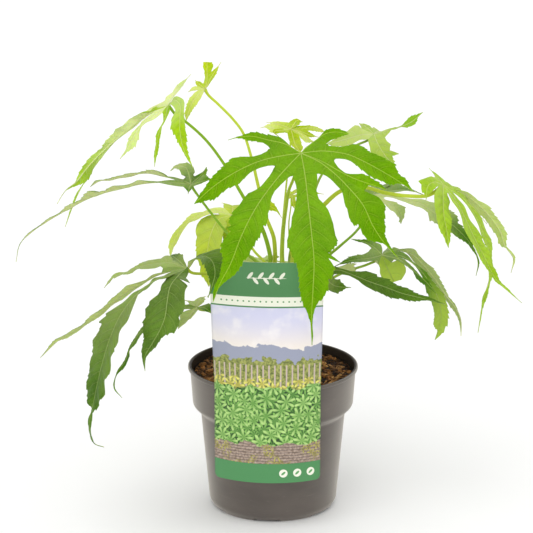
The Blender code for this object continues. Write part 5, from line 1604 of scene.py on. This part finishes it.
def rosette_group():
    """Round tufts of leaves on the label, from the place on the card, how close together they
    are and the leaves in each."""
    inputs = [("Place", "NodeSocketVector"), ("Scale", "NodeSocketFloat"), ("Leaves", "NodeSocketFloat")]
    graph, read = shader_group("label_rosettes", inputs)
    cells = graph.node("ShaderNodeTexVoronoi", {
        "Vector": read["Place"], "Scale": read["Scale"], "Randomness": 0.85,
    }, voronoi_dimensions="2D").outputs
    local = graph.node("ShaderNodeVectorMath", {
        0: read["Place"], 1: cells["Position"],
    }, operation="SUBTRACT").outputs["Vector"]
    parts, tone = graph.axes(local), graph.axes(cells["Color"])
    angle = graph.math("ARCTAN2", parts["Y"], parts["X"])
    angle = graph.plus(angle, graph.times(tone["Y"], math.tau))
    wave = graph.math("COSINE", graph.times(angle, graph.times(read["Leaves"], 0.5)))
    wave = graph.math("ABSOLUTE", wave)
    reach = cells["Distance"]
    length = graph.plus(graph.times(graph.math("POWER", wave, 1.4), 0.62), 0.10)
    return group_outputs(graph, {
        "Mask": graph.fade(graph.less(length, reach), 0.0, 0.05),
        "Light": graph.times(graph.fade(wave, 0.45, 1.0), graph.fade(reach, 0.05, 0.55, 0.35, 1.0)),
        "Tone": tone["X"],
    })


def print_finish(ovals, rosettes):
    """The label's print: green bands, a cream strip, and a plain garden picture between them.
    Heights on it are millimetres above its foot."""
    graph = Finish("label_print", Specular_IOR_Level=0.5)
    along, height = graph.chart("print")
    point = graph.node("ShaderNodeCombineXYZ", {"X": along, "Y": height}).outputs["Vector"]
    cream, green = (0.80, 0.81, 0.69), (0.055, 0.21, 0.062)

    def oval(colour, other, *sizes):
        inputs = {"Along": along, "Height": height, **dict(zip(OVAL_SIZES, sizes))}
        mask = graph.node("ShaderNodeGroup", inputs, node_tree=ovals).outputs["Mask"]
        return graph.blend(mask, colour, other)

    def from_height(edge, colour, other):
        return graph.blend(graph.fade(height, edge - 0.15, edge + 0.15), colour, other)

    def uneven(scale, deep):
        return graph.plus(height, graph.times(graph.noise(point, scale, 4.0), -deep))

    def blotched(scale, detail, rough, low, high, dark, light):
        return graph.mottled(graph.noise(point, scale, detail, rough), low, high, dark, light)

    def waves(scale, distortion, direction):
        return graph.node("ShaderNodeTexWave", {
            "Vector": point, "Scale": scale, "Distortion": distortion,
        }, bands_direction=direction).outputs["Fac"]

    def tufts(colour, scale, leaves, shift, dark, light, share=1.0):
        away = (shift, 1.7 * shift, 0.0)
        moved = graph.node("ShaderNodeVectorMath", {0: point, 1: away}, operation="ADD").outputs["Vector"]
        inputs = {"Place": moved, "Scale": scale, "Leaves": leaves}
        read = graph.node("ShaderNodeGroup", inputs, node_tree=rosettes).outputs
        bright = graph.plus(graph.times(read["Light"], 0.75), graph.times(read["Tone"], 0.25))
        return graph.tint(colour, read["Mask"], share, graph.blend(bright, dark, light))

    sky = graph.mottled(height, 128.0, 176.0, (0.84, 0.76, 0.66), (0.60, 0.60, 0.78))
    cloud = graph.noise(point, 0.05, 3.0)
    sky = graph.blend(graph.fade(cloud, 0.45, 0.75, 0.0, 0.5), sky, (0.90, 0.86, 0.84))
    colour = graph.mottled(uneven(0.045, 30.0), 126.0, 126.8, (0.30, 0.32, 0.42), sky)
    crowns = blotched(0.30, 5.0, 0.7, 0.35, 0.65, (0.09, 0.12, 0.02), (0.38, 0.40, 0.10))
    colour = graph.mottled(uneven(0.12, 26.0), 114.0, 114.8, crowns, colour)
    rails = graph.times(graph.fade(height, 100.0, 100.4), graph.fade(height, 122.0, 122.4, 1.0, 0.0))
    fence = graph.times(graph.fade(waves(0.055, 0.4, "X"), 0.80, 0.86), rails)
    colour = graph.blend(fence, colour, (0.52, 0.42, 0.36))
    low_shrubs = graph.fade(uneven(0.06, 22.0), 96.0, 97.0, 1.0, 0.0)
    colour = tufts(colour, 0.10, 6.0, 31.0, (0.30, 0.26, 0.02), (0.75, 0.72, 0.16), low_shrubs)
    leafy = blotched(0.05, 2.0, 0.5, 0.35, 0.65, (0.010, 0.035, 0.006), (0.03, 0.11, 0.012))
    leafy = tufts(leafy, 0.13, 7.0, 5.0, (0.020, 0.085, 0.010), (0.09, 0.26, 0.03))
    leafy = tufts(leafy, 0.095, 7.0, 17.0, (0.045, 0.17, 0.015), (0.24, 0.48, 0.10))
    leafy = tufts(leafy, 0.075, 7.0, 0.0, (0.07, 0.24, 0.02), (0.46, 0.68, 0.22))
    colour = graph.mottled(uneven(0.05, 30.0), 84.0, 84.8, leafy, colour)
    deck = blotched(0.4, 4.0, 0.5, 0.3, 0.7, (0.20, 0.14, 0.10), (0.44, 0.34, 0.28))
    joints = graph.fade(waves(0.11, 0.6, "Y"), 0.05, 0.16, 0.8, 0.0)
    deck = graph.blend(joints, deck, (0.05, 0.035, 0.03))
    clumps = graph.fade(graph.noise(point, 0.045, 1.0), 0.48, 0.56)
    deck = tufts(deck, 0.16, 5.0, 47.0, (0.12, 0.10, 0.02), (0.46, 0.42, 0.10), clumps)
    colour = graph.mottled(uneven(0.06, 20.0), 30.0, 30.8, deck, colour)
    colour = from_height(181.0, colour, green)
    colour = from_height(182.5, colour, cream)
    colour = from_height(192.0, colour, graph.mottled(height, 192.0, 229.0, green, (0.075, 0.25, 0.085)))
    for number in range(-3, 4):
        side = 1.0 if number % 2 else -1.0
        colour = oval(colour, cream, number * 5.2, 211.0 + 2.6 * side, 4.2, 1.6, 0.9 * side)
    colour = oval(colour, cream, 0.0, 211.0, 20.0, 0.45, 0.0)
    for number in range(-8, 9):
        colour = oval(colour, (0.10, 0.28, 0.10), number * 5.6, 187.3, 0.9, 0.9, 0.0)
    colour = from_height(20.0, (0.062, 0.245, 0.080), colour)
    for reach in (17.0, 31.0, 45.0):
        colour = oval(colour, cream, reach, 10.0, 4.2, 4.2, 0.0)
        colour = oval(colour, (0.10, 0.32, 0.10), reach, 10.0, 2.6, 1.1, 0.7)
    grain = graph.noise(graph.place(), 2500.0, 2.0)
    return graph.paint(colour, (grain, 0.2, 0.8, 0.26, 0.36), (grain, 0.00005, 0.3))


def white_card_finish(name):
    """White card, slightly yellowed and fibrous."""
    graph = Finish(name)
    fibres = graph.noise(graph.place((1.0, 1.0, 0.3)), 1200.0, 3.0)
    colour = graph.blend(fibres, (0.72, 0.73, 0.70), (0.82, 0.82, 0.79))
    return graph.paint(colour, (fibres, 0.3, 0.7, 0.40, 0.55), (fibres, 0.00008, 0.4))


def make_stem(bark):
    """The stem, with a ring scar at each leaf's foot and a blunt tip."""
    scars = np.array([leaf.stalk_from for leaf in LEAVES] + list(OLD_SCARS))
    tip_foot = STEM_TOP_HEIGHT - STEM_TIP
    heights = np.concatenate((
        np.arange(STEM_FOOT_HEIGHT, tip_foot, 1.0),
        [tip_foot + STEM_TIP * math.sin(step * math.pi / 10) for step in range(6)],
    ))
    radii = []
    for height in heights:
        swell = np.exp(-((height - scars + 2.0) / SCAR_REACH) ** 2)
        radius = stem_radius(height) + SCAR_RISE * float(swell.sum())
        blunt = max(0.0, 1.0 - (STEM_TOP_HEIGHT - height) / STEM_TIP)
        radii.append(radius * math.sqrt(max(0.04, 1.0 - blunt**2)))
    route = [stem_axis(height) for height in heights]
    made = to_object("stem_wood", swept_tube(route, radii, 28, (0.0, 1.0, 0.0)), bark)
    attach(made, "root")
    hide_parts("stem")
    return made


def make_stage():
    """A pale floor, soft lights and the camera."""
    floor_mesh = bmesh.new()
    bmesh.ops.create_grid(floor_mesh, x_segments=1, y_segments=1, size=6.0)
    graph = Finish("floor_paper", Roughness=0.9, Specular_IOR_Level=0.1)
    grain = graph.noise(graph.place(), 2.0, 1.0)
    colour = graph.blend(grain, (0.92, 0.92, 0.915), (0.925, 0.925, 0.92))
    floor = to_object("floor", floor_mesh, graph.paint(colour))
    world = bpy.data.worlds.new("studio")
    bpy.context.scene.world = world
    world.use_nodes = True
    world.node_tree.nodes["Background"].inputs["Color"].default_value = (1.0, 1.0, 1.0, 1.0)
    world.node_tree.nodes["Background"].inputs["Strength"].default_value = 0.72
    for name, place, spread_deg, strength in (
        ("key", (-0.5, -1.1, 2.0), 40.0, 0.85),
        ("front_light", (-0.2, -1.0, 0.1), 50.0, 1.0),
        ("fill", (1.5, -0.8, 1.0), 80.0, 0.30),
        ("back_light", (0.5, 1.5, 1.2), 60.0, 0.6),
    ):
        lamp = bpy.data.lights.new(name, "SUN")
        lamp.energy = strength
        lamp.angle = math.radians(spread_deg)
        light = bpy.data.objects.new(name, lamp)
        light.rotation_euler = (-Vector(place)).to_track_quat("-Z", "Y").to_euler()
        bpy.context.scene.collection.objects.link(light)
    lens = bpy.data.cameras.new("camera")
    lens.sensor_width = SENSOR_WIDTH
    lens.lens = SENSOR_WIDTH * VIEW_DISTANCE / FRAME_WIDTH
    camera = bpy.data.objects.new("camera", lens)
    away = Vector((0.0, -TILT_COSINE, TILT_SINE)) * VIEW_DISTANCE
    camera.location = (Vector(VIEW_AIM) + away) * MM
    camera.rotation_euler = (math.tau / 4 - VIEW_TILT, 0.0, 0.0)
    bpy.context.scene.collection.objects.link(camera)
    bpy.context.scene.camera = camera
    bpy.context.scene.view_settings.view_transform = "Standard"


make_stage()
make_pot(pot_finish("pot_plastic", 0.0), pot_finish("pot_plastic_stained", 1.0))
make_soil(soil_finishes())
make_label(print_finish(oval_group(), rosette_group()), white_card_finish("label_back"))
make_label_hook(white_card_finish("label_tongue"))
make_stem(bark_finish())
greens = leaf_finishes(vein_group())
skins = {kind: stalk_finish(kind, one.stalk) for kind, one in LEAF_FINISHES.items()}
for leaf in LEAVES:
    blade = make_blade(leaf, greens[leaf.colour])
    stalk = make_petiole(leaf, skins[leaf.colour])
